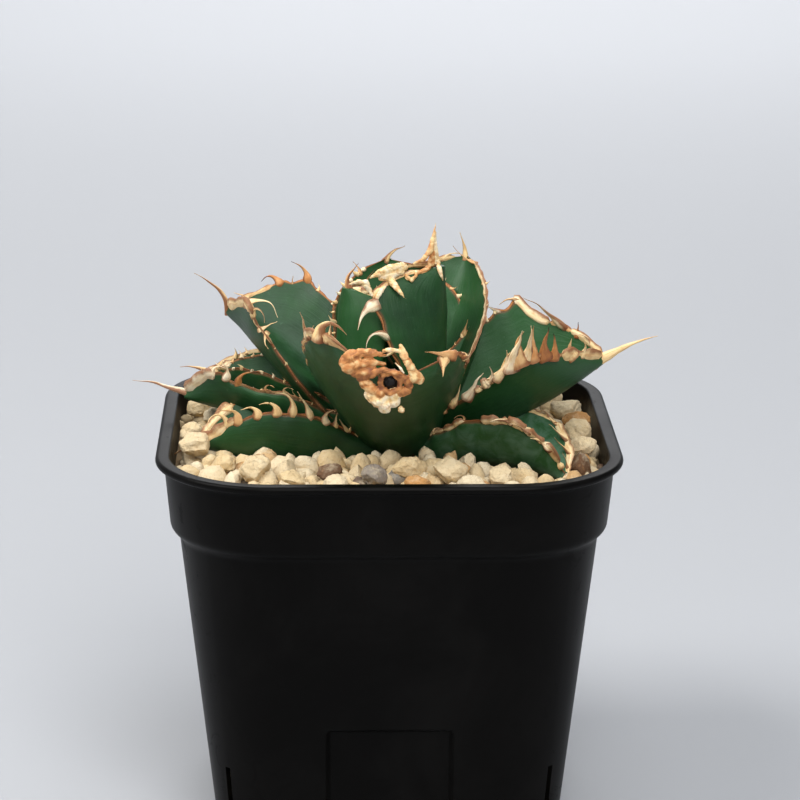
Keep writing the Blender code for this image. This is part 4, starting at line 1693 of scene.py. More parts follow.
LEAVES = (
    Leaf("leaf_bud", 200, 1, 8.5, 15, (86, 96), 10, 0.5, (60, 80), thickness=2.6, fresh_and_lit=0.6,
         teeth=(Tooth(None, 1, 1.5, 1.2, 92, 10, 0, 0.5),)),
    Leaf("leaf_heart_right", 98, 4, 8.5, 34, (82, 84), 36, 0.8, (48, 58), (28, -15), -6, thickness=5,
         fresh_and_lit=0.35, bloom_and_sheen=0.12, plus_trim=((0.2, -3), (0.8, -5), (0.95, -1)),
         teeth=(
             Tooth(M, 0.76, 8, 3.6, 196, 58, 35, 0.02),
             Tooth(M, 0.56, 8.6, 2.2, 128, 130, 35, 0.02),
             Tooth(M, 0.46, 4.8, 1.5, 230, -80, 30, 0.25),
         ),
         bands=(Band(M, 0.8, 0.97, 1, 0.3), Band(P, 0.9, 1, 1.2, 0.45)),
         rows=(ToothRow(P, 0.55, 0.9, 2, 2.6),)),
    Leaf("leaf_heart_left", 282, 8, 7.5, 31, (72, 88), 36, 0.8, (48, 56), (-20, 12), 4, thickness=5.5,
         fresh_and_lit=0.7, bloom_and_sheen=0.1, plus_trim=((0.2, -5), (0.5, -9), (0.85, -8), (0.95, -3)),
         minus_trim=((0.3, -3), (0.8, -4), (0.95, -1)),
         teeth=(
             Tooth(None, 1, 6.5, 2.6, 110, -65, 0, 0.55),
             Tooth(P, 0.97, 7.5, 2.2, 30, -115, 30, 0.2),
             Tooth(M, 0.9, 4.6, 1.8, 92, -50, -10, 0.6),
             Tooth(P, 0.8, 4, 1.6, 140, -120, 30, 0.35),
         ),
         bands=(Band(P, 0.85, 1, 1.3, 0.25), Band(M, 0.82, 1, 1.3, 0.4)),
         rows=(ToothRow(M, 0.35, 0.85, 1.5, 2.4),)),
    Leaf("leaf_back_right", 146, 6, 5.5, 40, (59, 58), 33, 0.58, (25, 40), fresh_and_lit=0.6, bloom_and_sheen=0.14,
         teeth=(
             Tooth(None, 1, 6, 2, 92, 12, 0, 0.35),
             Tooth(M, 0.95, 6.5, 1.4, 166, -30, 0, 0.55),
             Tooth(P, 0.95, 5.5, 1.3, 50, -70, 0, 0.25),
         ),
         bands=(Band(M, 0.3, 0.98, 1.1, 0.2), Band(P, 0.8, 0.98, 1.1, 0.3)),
         rows=(ToothRow(P, 0.35, 0.92, 1.8, 2.2, 3.4), ToothRow(M, 0.3, 0.92, 1, 1.8, 3.4))),
    Leaf("leaf_back_left", 186, 8, 5.5, 37, (64, 62), 34, 0.58, (22, 32), swing=6,
         fresh_and_lit=0.6, bloom_and_sheen=0.2,
         teeth=(
             Tooth(None, 1, 5.5, 2, 60, -30, 0, 0.35),
             Tooth(M, 0.9, 5.5, 1.6, 50, -25, 0, 0.2),
             Tooth(P, 0.9, 3, 1.4, 100, 30, 0, 0.55),
         ),
         rows=(ToothRow(P, 0.35, 0.92, 1.6, 2.4), ToothRow(M, 0.3, 0.92, 1.6, 2.4))),
    Leaf("leaf_front", -14, 5.5, 3.5, 46, (42, 18), 47, 0.7, (28, 38), (6, -8), 18, thickness=6.5,
         fresh_and_lit=0.5, bloom_and_sheen=0.5,
         plus_trim=((0.1, -1), (0.3, -2.2), (0.45, -3.2), (0.62, -5), (0.72, -5.6), (0.8, -4),
                    (0.88, -1)),
         minus_trim=((0.04, 4), (0.15, 4.2), (0.3, 2.2), (0.45, 0.4), (0.62, -1.6), (0.72, -2.8),
                     (0.8, -2.6), (0.86, -0.6), (0.9, 1.8), (0.93, 1.6), (0.97, 0)),
         teeth=(
             Tooth(M, 0.78, 5.8, 2.6, 112, -14, 10, 0.28, bulb=0.2),
             Tooth(M, 0.87, 9, 4.8, 84, -134, 15, 0.34, bulb=0.1),
             Tooth(M, 0.91, 4.6, 2.6, 70, 16, 20, 0.34),
             Tooth(M, 0.82, 2.4, 2.4, 60, 20, 20, 0.2),
             Tooth(P, 0.9, 8.6, 3, 160, -6, 42, 0.55, bulb=0.2),
             Tooth(P, 0.92, 5.2, 3, 262, 0, 55, 0.42, sink=0.2, bulb=0.2),
             Tooth(P, 0.66, 7.8, 2.6, 126, 48, 38, 0.42, sink=0.4, bulb=0.3),
             Tooth(P, 0.8, 3, 2, 150, 0, 40, 0.6),
         ),
         bands=(Band(M, 0.6, 0.8, 1.1, 0.4), Band(M, 0.79, 0.89, 1.7, 0.24),
                Band(M, 0.9, 0.95, 2, 0.4), Band(P, 0.6, 0.72, 1.3, 0.34),
                Band(P, 0.71, 0.9, 1, 0.6), Band(M, 0.16, 0.66, 0.65, 0.42)),
         rows=(ToothRow(P, 0.15, 0.5, 0.6, 1), ToothRow(M, 0.1, 0.3, 0.6, 1))),
    Leaf("leaf_upper_left", 248, 7, 6.5, 43, (35, 28), 37, 0.66, (35, 46), (-52, 2), 4,
         fresh_and_lit=0.3, bloom_and_sheen=0.16,
         plus_trim=((0.5, -2), (0.74, -3), (0.86, 2), (0.94, 1)),
         minus_trim=((0.3, -2), (0.5, -4), (0.66, -3.2), (0.76, -1.6), (0.8, -2.6), (0.85, -0.8),
                     (0.91, -0.8)),
         teeth=(
             Tooth(None, 1, 12, 3.2, 104, 42, 0, 0.4, sink=1.5),
             Tooth(P, 0.86, 10.5, 2, 40, -98, 30, 0.22),
             Tooth(P, 0.8, 7, 1.8, 100, -190, 30, 0.35),
             Tooth(P, 0.72, 5.6, 1.4, 34, 12, 35, 0.28),
             Tooth(P, 0.68, 3.6, 1.4, 240, 70, 30, 0.3),
             Tooth(M, 0.86, 5.4, 2.4, 112, 105, -5, 0.7),
             Tooth(M, 0.74, 6.4, 2.6, 90, 82, -5, 0.66),
             Tooth(M, 0.8, 1.9, 1, 90, 0, 0, 0.45),
             Tooth(M, 0.96, 3, 1.4, 150, 10, 0, 0.4),
         ),
         bands=(Band(P, 0.8, 1, 2.2, 0.28), Band(M, 0.88, 1, 1.2, 0.45),
                Band(P, 0.62, 0.82, 0.9, 0.3)),
         rows=(ToothRow(P, 0.2, 0.6, 0.6, 1.2, 4), ToothRow(M, 0.25, 0.66, 1, 1.8, 4))),
    Leaf("leaf_rear_upper", 216, 6, 3.5, 38, (25, 8), 34, 0.58, (14, 20), fresh_and_lit=0.5, bloom_and_sheen=0.3,
         teeth=(Tooth(None, 1, 8, 2.6, 120, 20, -30, 0.4),),
         bands=REAR_BANDS, rows=REAR_ROWS),
    Leaf("leaf_right", 84, 7, 5.5, 43, (12, 34), 43, 0.62, (46, 56), (24, 12), -4, thickness=4.2,
         base_share=0.55, fresh_and_lit=0.65, bloom_and_sheen=0.18,
         plus_trim=((0.55, 0), (0.66, 0.4), (0.71, -2.2), (0.8, -3.4), (0.88, -2.8), (0.95, -1)),
         minus_trim=((0.5, -0.4), (0.65, -1.6), (0.8, -3), (0.9, -2.2)),
         teeth=(
             Tooth(M, 0.11, 5, 2.4, 96, -50, 25, 0.45, bulb=0.1),
             Tooth(M, 0.18, 6, 2.2, 60, 34, 25, 0.3),
             Tooth(M, 0.28, 8, 3.2, 60, 6, 25, 0.06, bulb=0.2),
             Tooth(M, 0.36, 3.8, 2.2, 20, 90, 25, 0.22, bulb=0.3),
             Tooth(M, 0.42, 5.8, 2.8, 34, 84, 30, 0.14, bulb=0.2),
             Tooth(M, 0.45, 2.6, 1.4, 120, 90, 30, 0.3),
             Tooth(M, 0.5, 8.4, 3.2, 52, 44, 25, 0.24, bulb=0.1),
             Tooth(M, 0.57, 5, 3, 118, -60, 18, 0.42),
             Tooth(M, 0.6, 10.6, 4.4, 84, -16, 24, 0.14, bulb=0),
             Tooth(M, 0.66, 8.6, 5.2, 108, -40, 20, 0.5, bulb=0.1),
             Tooth(M, 0.7, 9.8, 3.6, 76, 22, 26, 0.24, bulb=0),
             Tooth(M, 0.735, 8.2, 4.4, 96, -10, 18, 0.58, bulb=0.1),
             Tooth(M, 0.79, 8.2, 3.8, 104, -26, 22, 0.88, bulb=0.1),
             Tooth(M, 0.825, 6.4, 3.4, 78, 30, 22, 0.72, bulb=0.2),
             Tooth(M, 0.9, 4.6, 3.8, 128, -60, 25, 0.4, bulb=0.2),
             Tooth(M, 0.94, 3.6, 2.4, 60, 40, 25, 0.3, bulb=0.2),
             Tooth(None, 1, 13.2, 4.6, 30, -4, 5, 0.32, sink=3),
             Tooth(P, 0.86, 11.8, 2.6, 140, 4, 0, 0.22),
             Tooth(P, 0.66, 4.4, 1.7, 150, 90, 0, 0.42),
             Tooth(P, 0.92, 2.8, 1.9, 92, 0, 0, 0.95),
             Tooth(P, 0.96, 4.8, 1.5, 104, 80, 0, 0.22),
             Tooth(P, 0.38, 3.2, 1.8, 78, -45, 0, 0.2),
             Tooth(P, 0.52, 4.2, 1.3, 152, 12, 0, 0.04),
             Tooth(P, 0.28, 4, 1.8, 84, -14, 20, 0.42),
         ),
         bands=(Band(M, 0.86, 1, 2, 0.34), Band(M, 0.6, 0.87, 1.3, 0.55),
                Band(P, 0.64, 0.8, 1.5, 0.2), Band(P, 0.8, 0.9, 1, 0.45),
                Band(P, 0.89, 1, 1.4, 0.3)),
         rows=(ToothRow(P, 0.1, 0.5, 1, 1.8),)),
    Leaf("leaf_rear_right", 128, 6, 2.5, 41, (24, 8), 35, 0.58, (30, 42), fresh_and_lit=0.5, bloom_and_sheen=0.3,
         teeth=(Tooth(None, 1, 8, 2.6, 40, -10, -30, 0.35),),
         bands=REAR_BANDS, rows=REAR_ROWS),
    Leaf("leaf_left", 264, 6, 3.5, 46, (12, 6), 27, 0.6, (44, 53), (-20, 8), -2, thickness=5.5,
         fresh_and_lit=0.4, bloom_and_sheen=0.2, plus_trim=((0.4, -2.5), (0.6, -4), (0.74, -4), (0.82, 0.4)),
         teeth=(
             Tooth(None, 1, 12.6, 4.2, 162, 4, 0, 0.06, sink=4),
             Tooth(P, 0.9, 2.4, 1.8, 100, 0, 20, 0.05),
             Tooth(P, 0.85, 5.2, 1.9, 100, -140, 20, 0.08),
             Tooth(P, 0.78, 4.6, 2.6, 70, 60, 25, 0.1),
             Tooth(P, 0.72, 7, 2.2, 92, -95, 25, 0.68),
             Tooth(P, 0.57, 4, 1.4, 150, -170, 25, 0.5),
             Tooth(P, 0.48, 3.8, 1.2, 150, -190, 25, 0.35),
             Tooth(P, 0.42, 2.4, 1.1, 118, 0, 25, 0.35),
         ),
         bands=(Band(P, 0.84, 1, 2.3, 0.08), Band(M, 0.8, 1, 1.6, 0.15),
                Band(P, 0.35, 0.8, 0.7, 0.45)),
         rows=(ToothRow(P, 0.1, 0.4, 0.8, 1.6), ToothRow(M, 0.2, 0.8, 1.4, 2.6))),
    Leaf("leaf_front_right", 56, 7, -0.5, 38, (22, -22), 27, 0.58, (40, 50), (10, -18), -4,
         fresh_and_lit=0.95, bloom_and_sheen=1.7,
         plus_trim=((0.4, -1.5), (0.7, -1.2), (0.9, -0.3)),
         minus_trim=((0.01, -3), (0.25, -2.6), (0.5, -0.8)),
         teeth=(
             Tooth(M, 0.1, 3.2, 1.2, 84, -60, 20, 0.22),
             Tooth(M, 0.2, 3.2, 1.5, 140, -190, 20, 0.28),
             Tooth(M, 0.29, 3.8, 1.5, 110, -150, 20, 0.2),
             Tooth(M, 0.4, 4.8, 1.5, 0, 190, 20, 0.26),
             Tooth(M, 0.7, 5.2, 2.4, 144, 50, 10, 0.2, sink=0.4),
             Tooth(M, 0.79, 5, 2.5, 138, 33, 10, 0.22, sink=0.4),
             Tooth(M, 0.9, 5.6, 2.5, 126, 38, 10, 0.24, sink=0.4),
             Tooth(M, 0.97, 3.8, 2.3, 132, -10, 10, 0.3, sink=0.4),
             Tooth(None, 1, 3.5, 3.8, 60, -60, 10, 0.15, sink=2),
             Tooth(P, 0.41, 2.8, 1, 82, -30, 0, 0.3),
             Tooth(P, 0.5, 1.6, 1, 80, 0, 0, 0.25),
             Tooth(P, 0.56, 1.6, 1, 80, 0, 0, 0.25),
             Tooth(P, 0.66, 4.2, 1.4, 92, 110, 0, 0.22),
             Tooth(P, 0.74, 3, 1.3, 160, -30, 0, 0.25),
             Tooth(P, 0.83, 5.6, 1.8, 134, 12, 0, 0.28),
             Tooth(P, 0.91, 5.2, 1.7, 128, 0, 0, 0.38),
             Tooth(P, 0.97, 3.8, 1.5, 104, 10, 0, 0.35),
         ),
         bands=(Band(M, 0.04, 0.16, 1.1, 0.3), Band(M, 0.15, 0.28, 1.3, 0.22),
                Band(M, 0.27, 0.43, 1.4, 0.2), Band(M, 0.53, 0.69, 2, 0.2),
                Band(M, 0.68, 0.78, 2.1, 0.24), Band(M, 0.78, 0.87, 1.9, 0.2),
                Band(M, 0.87, 0.96, 1.8, 0.24), Band(P, 0.5, 0.72, 1, 0.28),
                Band(P, 0.72, 1, 1.4, 0.25))),
    Leaf("leaf_front_left", 286, 4, -0.5, 45, (3, 7), 30, 0.58, (50, 62), (-10, 12), -5,
         fresh_and_lit=0.35, bloom_and_sheen=0.22,
         plus_trim=((0.01, -5.5), (0.25, -4.4), (0.5, -2.6), (0.75, -3), (0.9, -2.6), (0.96, -1.4)),
         teeth=(
             Tooth(None, 1, 8, 3.2, 204, 0, 0, 0.24, sink=4),
             Tooth(P, 0.88, 8.8, 1.7, 88, 185, 10, 0.26),
             Tooth(P, 0.83, 6.8, 2.6, 80, 115, 10, 0.5),
             Tooth(P, 0.74, 5, 2.6, 84, 115, 10, 0.36),
             Tooth(P, 0.65, 5.6, 2.6, 86, 105, 10, 0.38),
             Tooth(P, 0.57, 8, 2.3, 78, 72, 12, 0.28),
             Tooth(P, 0.48, 7, 2.2, 100, 30, 12, 0.24),
             Tooth(P, 0.4, 4.6, 2.4, 100, -100, 12, 0.16),
             Tooth(P, 0.34, 3.2, 2, 78, 0, 12, 0.26),
             Tooth(P, 0.28, 3.2, 1.9, 106, 0, 12, 0.25),
         ),
         bands=(Band(P, 0.83, 1, 2.4, 0.24), Band(M, 0.8, 1, 1.6, 0.25)),
         rows=(ToothRow(P, 0.06, 0.26, 1.4, 2.6, 1.7), ToothRow(M, 0.2, 0.85, 1.4, 2.8))),
    Leaf("leaf_left_rear", 250, 5, 2.5, 45, (19, 8), 27, 0.58, (31, 41), fresh_and_lit=0.6, bloom_and_sheen=0.5,
         teeth=(Tooth(None, 1, 7, 2.4, 160, 10, 0, 0.3),),
         bands=(Band(P, 0.84, 1, 1.1), Band(M, 0.5, 1, 1)),
         rows=(ToothRow(P, 0.2, 0.9, 1.2, 2), ToothRow(M, 0.3, 0.95, 1.4, 2.2, 3.4))),
    Leaf("leaf_rear_low", 174, 7, 0.5, 38, (16, 2), 34, 0.58, (30, 42), fresh_and_lit=0.5, bloom_and_sheen=0.3,
         teeth=(Tooth(None, 1, 7, 2.6, 90, 10, -60, 0.35),),
         bands=REAR_BANDS, rows=REAR_ROWS),
)


class Canopy:
    """All the leaves of the rosette."""

    GRAIN_REACH = 1.8 * mm
    GRAIN_ROOM = 3.4 * mm

    def __init__(self, leaves: Sequence[Leaf]) -> None:
        """Keep the leaves.

        Args:
            leaves: The leaves, from the heart outwards.
        """
        self.leaves = leaves
        self.cloud = self.sample()

    def sample(self) -> np.ndarray:
        """Sample the lower faces and the middle of every leaf.

        Returns:
            The points, in metres.
        """
        points = []
        for leaf in self.leaves:
            for u in np.linspace(0, 1, 24):
                for v in np.linspace(-1, 1, 15):
                    low = leaf.point(u, v, True)
                    points += [low, (low + leaf.point(u, v, False)) / 2]
        return np.array(points) * mm

    def free_ground(self, place: Vector) -> float:
        """Tell whether a grain on the ground has room.

        Args:
            place: Where it lies.

        Returns:
            1 where it has, 0 where a leaf is in its way.
        """
        flat = np.hypot(self.cloud[:, 0] - place.x, self.cloud[:, 1] - place.y)
        above = self.cloud[:, 2] - place.z
        return 0.0 if ((flat < self.GRAIN_REACH) & (above < self.GRAIN_ROOM)).any() else 1.0

    def tooth_tree(self) -> GeometryTree:
        """Make the tree that stands small hooked teeth along lines.

        Returns:
            The tree.
        """
        tree = GeometryTree("Margin teeth", {
            "Spacing": "NodeSocketFloat", "Slenderness": "NodeSocketFloat", "Seed": "NodeSocketInt",
            "Material": "NodeSocketMaterial"})
        given = tree.given
        line = tree.add("GeometryNodeMeshToCurve", {"Mesh": given["Geometry"]})
        even = tree.add("GeometryNodeResampleCurve", {
            "Curve": line, "Length": given["Spacing"]}, mode="LENGTH")
        out = tree.add("GeometryNodeInputNamedAttribute", {"Name": "out"}, data_type="FLOAT_VECTOR")
        size = tree.add("GeometryNodeInputNamedAttribute", {"Name": "size"}, data_type="FLOAT")
        along = tree.add("GeometryNodeInputTangent")
        stand = tree.add("FunctionNodeAlignRotationToVector", {"Vector": out}, axis="Z")
        turned = tree.add("FunctionNodeAlignRotationToVector", {
            "Rotation": stand, "Vector": along}, axis="X", pivot_axis="Z")
        sway = tree.random_vector((-0.5, -0.45, -0.7), (0.5, 0.45, 0.7), 17)
        sway_turn = tree.add("FunctionNodeEulerToRotation", {0: sway})
        rotation = tree.add("FunctionNodeRotateRotation", {
            "Rotation": turned, "Rotate By": sway_turn}, rotation_space="LOCAL")
        spread = tree.random_float(0.55, 1.35, 23)
        scale = tree.add("ShaderNodeMath", {0: size, 1: spread}, operation="MULTIPLY")
        hook = tree.add("GeometryNodeCurveQuadraticBezier", {
            "Resolution": 6, "Start": (0, 0, -0.1), "Middle": (-0.10, 0, 0.65), "End": (0.42, 0.1, 1.0)})
        part = tree.add("GeometryNodeSplineParameter")
        taper = tree.add("ShaderNodeMapRange", {
            "Value": part.outputs["Factor"], "To Min": 1.0, "To Max": 0.06},
            interpolation_type="SMOOTHERSTEP")
        rim = tree.add("GeometryNodeCurvePrimitiveCircle", {
            "Resolution": 6, "Radius": given["Slenderness"]})
        part_share = tree.add("GeometryNodeStoreNamedAttribute", {
            "Geometry": hook, "Name": "share", "Value": part.outputs["Factor"]},
            data_type="FLOAT", domain="POINT")
        tooth = tree.add("GeometryNodeCurveToMesh", {
            "Curve": part_share, "Profile Curve": rim, "Scale": taper,
            "Fill Caps": True})
        placed = tree.add("GeometryNodeInstanceOnPoints", {
            "Points": even, "Instance": tooth, "Rotation": rotation,
            "Scale": scale})
        tone = tree.add("GeometryNodeStoreNamedAttribute", {
            "Geometry": placed, "Name": "tone", "Value": tree.random_float(0.08, 0.55, 29)},
            data_type="FLOAT", domain="INSTANCE")
        tree.close(tone, given["Material"])
        return tree

    def build(self) -> None:
        """Make every leaf.

        Each has its flesh, its horn and, where it has rows, its small teeth.
        """
        horn = HornFinish().build("horn")
        tree = self.tooth_tree()
        for leaf in self.leaves:
            leaf.build_flesh()
            leaf.build_horn(horn)
            if leaf.rows:
                spacing = sum(row.spacing for row in leaf.rows) / len(leaf.rows) * mm
                values = {"Spacing": spacing, "Slenderness": 0.30, "Seed": 1, "Material": horn}
                attach(tree.run(leaf.row_base(), leaf.name + "_teeth", values))


@dataclass(frozen=True)
class Strand:
    """A lumpy strand of cork. Each point is (right, to the front, up, radius), in millimetres."""

    tone: float
    points: tuple[tuple[float, float, float, float], ...]


GALL_STRANDS = (
    Strand(0.68, ((-10, 0.4, 4.4, 1.3), (-8.6, 0.8, 5.8, 1.5), (-6.2, 1, 6.8, 1.1),
                  (-3.4, 1, 6.6, 0.8), (-1, 0.6, 6, 0.35))),
    Strand(0.6, ((-9.2, 0.8, 3.4, 1.5), (-6.8, 1.2, 4.2, 1.3), (-4, 1, 4.6, 0.9),
                  (-1.2, 0.6, 4, 0.45))),
    Strand(0.74, ((-7.8, 0.8, 2, 1), (-5.8, 1.2, 2.4, 1), (-3.6, 1, 3.2, 0.6))),
    Strand(0.84, ((-6.4, 0.6, 1, 1.1), (-4.2, 1.4, 2.2, 1), (-1.4, 1.7, 3, 0.8),
                  (1.2, 1.7, 2.4, 0.75), (3.2, 1.3, 1, 0.9), (4.2, 0.8, -0.8, 1))),
    Strand(0.56, ((-5.4, 0.4, -0.2, 1.4), (-3.8, 0.8, -1.6, 1.3), (-2.2, 1, -2.4, 1.2))),
    Strand(0.84, ((-2.3, 1.2, 0.2, 0.65), (-1.4, 1.3, 2, 0.65), (0.7, 1.3, 2.2, 0.65),
                  (2.2, 1.3, 0.7, 0.65), (1.9, 1.2, -1.4, 0.7), (0, 1.2, -2.4, 0.75),
                  (-1.9, 1.2, -1.4, 0.7), (-2.3, 1.2, 0.2, 0.65))),
    Strand(0.22, ((-4.2, 0.2, -2.8, 1.6), (-2.8, 0.4, -4.2, 1.5))),
    Strand(0.1, ((-1.6, 0.2, -3.6, 1.5), (-1.1, 0, -5.9, 1.5))),
    Strand(0.18, ((0.8, 0.2, -3, 1.6), (0.9, 0.1, -4.4, 1.4))),
    Strand(0.72, ((2.2, 0.8, -2.2, 1.1), (3.6, 0.6, -1.9, 1.1))),
    Strand(0.46, ((2.2, 0.8, 8.2, 0.5), (2.7, 1, 6.6, 0.85), (3.7, 1.4, 4.8, 0.95),
                  (4.7, 1.2, 2.8, 1), (5.4, 0.8, 1.2, 1.3), (6.3, 0.4, 0.6, 1.2))),
    Strand(0, ((1.1, 2, 4.6, 0.25), (2.2, 2.3, 3.5, 0.3), (2.9, 2.3, 2.5, 0.22))),
    Strand(0.3, ((2.3, -0.4, -6.4, 0.75), (2.5, -0.4, -6.6, 0.75))),
    Strand(0.3, ((-1.4, 1.4, 7.2, 0.55), (0.4, 1.4, 7.4, 0.5), (2, 1.2, 7, 0.45))),
)

CREST_STRANDS = (
    Strand(0.24, ((-15.8, 0, -3.4, 0.3), (-13.8, 0.2, -2.2, 0.9), (-11.3, 0.2, -1.2, 1.2),
                  (-8.6, 0.2, -0.6, 1.1), (-7.4, 0.2, -0.8, 0.8))),
    Strand(0.2, ((-13.4, 0.4, -3.4, 0.8), (-11.3, 0.6, -2.7, 1.2), (-9.4, 0.5, -1.8, 0.9),
                  (-8, 0.4, -1.9, 0.8))),
    Strand(0.22, ((-11.6, 0.8, -3.4, 1.1), (-10, 1.4, -5.5, 0.8), (-8.8, 1.8, -7.1, 0.5),
                  (-7.9, 2, -8.2, 0.18))),
    Strand(0.34, ((-7.7, 0.5, -1.1, 0.45), (-6.6, 0.6, -0.6, 0.4), (-5.6, 0.6, -1.2, 0.4),
                  (-5.4, 0.6, -2.6, 0.45), (-6.5, 0.6, -3.8, 0.6), (-7.6, 0.6, -3.1, 0.55),
                  (-7.9, 0.5, -1.9, 0.45))),
    Strand(0.1, ((-20.6, 0, -4.9, 0.3), (-18.7, 0.2, -4.3, 0.65), (-16.9, 0.4, -4.7, 0.9),
                  (-16.1, 0.6, -6.2, 0.65), (-14.8, 0.8, -8.6, 0.2))),
    Strand(0.04, ((-12.2, 0.4, -5, 0.35), (-13.5, 0.6, -6.5, 0.75), (-14.3, 0.6, -8.1, 0.5))),
    Strand(0.4, ((-5.8, 0, 0.3, 0.4), (-3.7, 0.2, 1.3, 0.6), (-2.3, 0.3, 3.3, 0.8),
                  (-1.5, 0.2, 6.9, 0.5), (-1, 0, 9.8, 0.16))),
    Strand(0.12, ((0.7, 0.3, -3.6, 0.28), (0, 0.5, -1.3, 0.65), (-0.7, 0.4, 1.3, 0.75),
                  (-1.2, 0.3, 4.6, 0.6), (-1.1, 0.1, 7.8, 0.3))),
    Strand(0.6, ((-5.6, 0, -2.4, 0.5), (-4.8, 0, -2, 0.55), (-3, 0, -1.2, 0.8),
                  (-2, 0, 0.4, 0.9), (-1.7, 0, 3, 0.8))),
)


@dataclass
class Cork:
    """A growth of cork on a leaf: lumpy strands that have grown together, with a hole that is a ball
    painted near-black as its shade.

    Its strands are measured from the leaf's tip, in a plane that leans back with the growth. Where a side
    is given, they are pressed back onto the leaves, or onto the line of that margin beyond them.
    """

    name: str
    strands: tuple[Strand, ...]
    hole: tuple[float, float, float]
    offset: tuple[float, float, float]
    flatness: float = 1.0
    lumps: float = 1.0
    side: Side | None = None
    voxel: float = 0.17

    LEAN = Vector((0.03, 0.964, -0.262))
    FAR = 60
    PITCH = 0.4
    GRID = (36, 15)

    def backing(self, leaves: list[Leaf]) -> tuple[BVHTree, np.ndarray]:
        """Find what the strands are pressed onto.

        Args:
            leaves: The leaf that carries the growth, then those beside it.

        Returns:
            The faces of the leaves, and the carrying leaf's margin measured from its tip.
        """
        points, faces = [], []
        rows, columns = self.GRID
        for leaf in leaves:
            first = len(points)
            for u in np.linspace(0.3, 1.0, rows):
                points += [Vector(leaf.point(u, v, True)) for v in np.linspace(-1, 1, columns)]
            for i in range(rows - 1):
                for j in range(columns - 1):
                    corner = first + i * columns + j
                    faces.append((corner, corner + 1, corner + columns + 1, corner + columns))
        tip = leaves[0].at(leaves[0].midrib, 1.0)
        edge = np.array([leaves[0].margin(u, self.side)[0] - tip for u in np.linspace(0.80, 1.0, 9)])
        return BVHTree.FromPolygons(points, faces), edge[np.argsort(edge[:, 0])]

    def balls(self, leaves: list[Leaf]) -> list[tuple[Vector, float, float, float]]:
        """List the balls that the growth is made of.

        Args:
            leaves: The leaf that carries it, then those beside it.

        Returns:
            The place in millimetres, radius, tone and share of each.
        """
        tip = Vector(leaves[0].at(leaves[0].midrib, 1.0)) + Vector(self.offset)
        tree, edge = self.backing(leaves) if self.side else (None, None)

        def placed(right: float, front: float, up: float) -> Vector:
            """Put one ball in its place.

            Args:
                right: How far it is to the right of the tip.
                front: How far it stands out to the front.
                up: How far it is above the tip.

            Returns:
                Its middle.
            """
            flat = tip + Vector((right, 0, up))
            if tree is None:
                return flat - Vector((0, front, 0))
            hit = tree.ray_cast(flat - self.LEAN * self.FAR, self.LEAN)[0]
            if hit is None:
                hit = flat + self.LEAN * float(np.interp(right, edge[:, 0], edge[:, 1]))
            return hit - self.LEAN * front

        right, up, radius = self.hole
        # The hole is a ball with tone and share 1, which the horn finish paints near-black as the shade
        # inside the hole.
        found = [(placed(right, -0.7, up), radius, 1.0, 1.0)]
        for strand in self.strands:
            for a, b in zip(strand.points, strand.points[1:]):
                steps = max(int(dist(a[:3], b[:3]) / self.PITCH), 1)
                for i in range(steps + 1):
                    right, front, up, radius = (a[k] + (b[k] - a[k]) * i / steps for k in range(4))
                    wobble = noise.noise(Vector((right, up, strand.tone * 30)) * 0.9)
                    radius *= 1 + 0.22 * self.lumps * wobble
                    found.append((placed(right, front, up), radius, strand.tone, 0.4))
        return found

    def build(self, leaves: list[Leaf]) -> Object:
        """Make the growth.

        Args:
            leaves: The leaf that carries it, then those beside it.

        Returns:
            The piece.
        """
        balls = self.balls(leaves)
        bm = bmesh.new()
        for place, radius, _, _ in balls:
            made = bmesh.ops.create_icosphere(bm, subdivisions=2, radius=radius)["verts"]
            bmesh.ops.scale(bm, vec=(1.0, self.flatness, 1.0), verts=made)
            bmesh.ops.translate(bm, verts=made, vec=place)
        bmesh.ops.scale(bm, vec=(mm, mm, mm), verts=bm.verts)
        piece = link_mesh(self.name, bm, None, None)
        remesh = piece.modifiers.new("Skin", "REMESH")
        remesh.mode = "VOXEL"
        remesh.voxel_size = self.voxel * mm
        soften = piece.modifiers.new("Soften", "SMOOTH")
        soften.iterations = 3
        baked(piece)
        return self.dress(piece, balls)

    def dress(self, piece: Object, balls: list) -> Object:
        """Wrinkle the growth and give it the horn finish, with painted shade in its creases and hollows
        and towards its back.

        Args:
            piece: The growth.
            balls: What it was made of.

        Returns:
            The piece.
        """
        places = np.array([ball[0] for ball in balls])
        radii = np.array([ball[1] for ball in balls])
        bm = bmesh.new()
        bm.from_mesh(piece.data)
        tone = bm.verts.layers.float.new("tone")
        share = bm.verts.layers.float.new("share")
        flank = bm.verts.layers.float.new("flank")
        grain = bm.verts.layers.float_vector.new("grain")
        bm.normal_update()
        for vert in bm.verts:
            local = vert.co / mm
            near = int(np.argmin(np.linalg.norm(places - np.array(local), axis=1) - radii))
            crease = max(0.0, 0.09 - abs(noise.noise(local * Vector((0.35, 0.35, 0.6))))) / 0.09
            crumb = noise.noise(local * 0.9)
            swell = -0.14 * crease + 0.22 * self.lumps * crumb + 0.07 * noise.noise(local * 2.6)
            # Painted shade: creases, sunken crumbs and the back of each ball get a browner tone, raised
            # crumbs a paler one.
            depth = min(max((local.y - places[near][1]) / max(radii[near], 0.5) + 0.4, 0.0), 1.0)
            vert.co += vert.normal * swell * mm
            vert[tone] = min(max(balls[near][2] + 0.16 * crease - 0.35 * crumb + 0.35 * depth, 0.0), 1.0)
            vert[share] = balls[near][3]
            vert[flank] = crease * 0.7 - 0.35 - 0.5 * crumb
            vert[grain] = local * 0.6
        bm.to_mesh(piece.data)
        bm.free()
        piece.data.materials.clear()
        piece.data.materials.append(bpy.data.materials["horn"])
        piece.data.shade_smooth()
        return attach(piece)


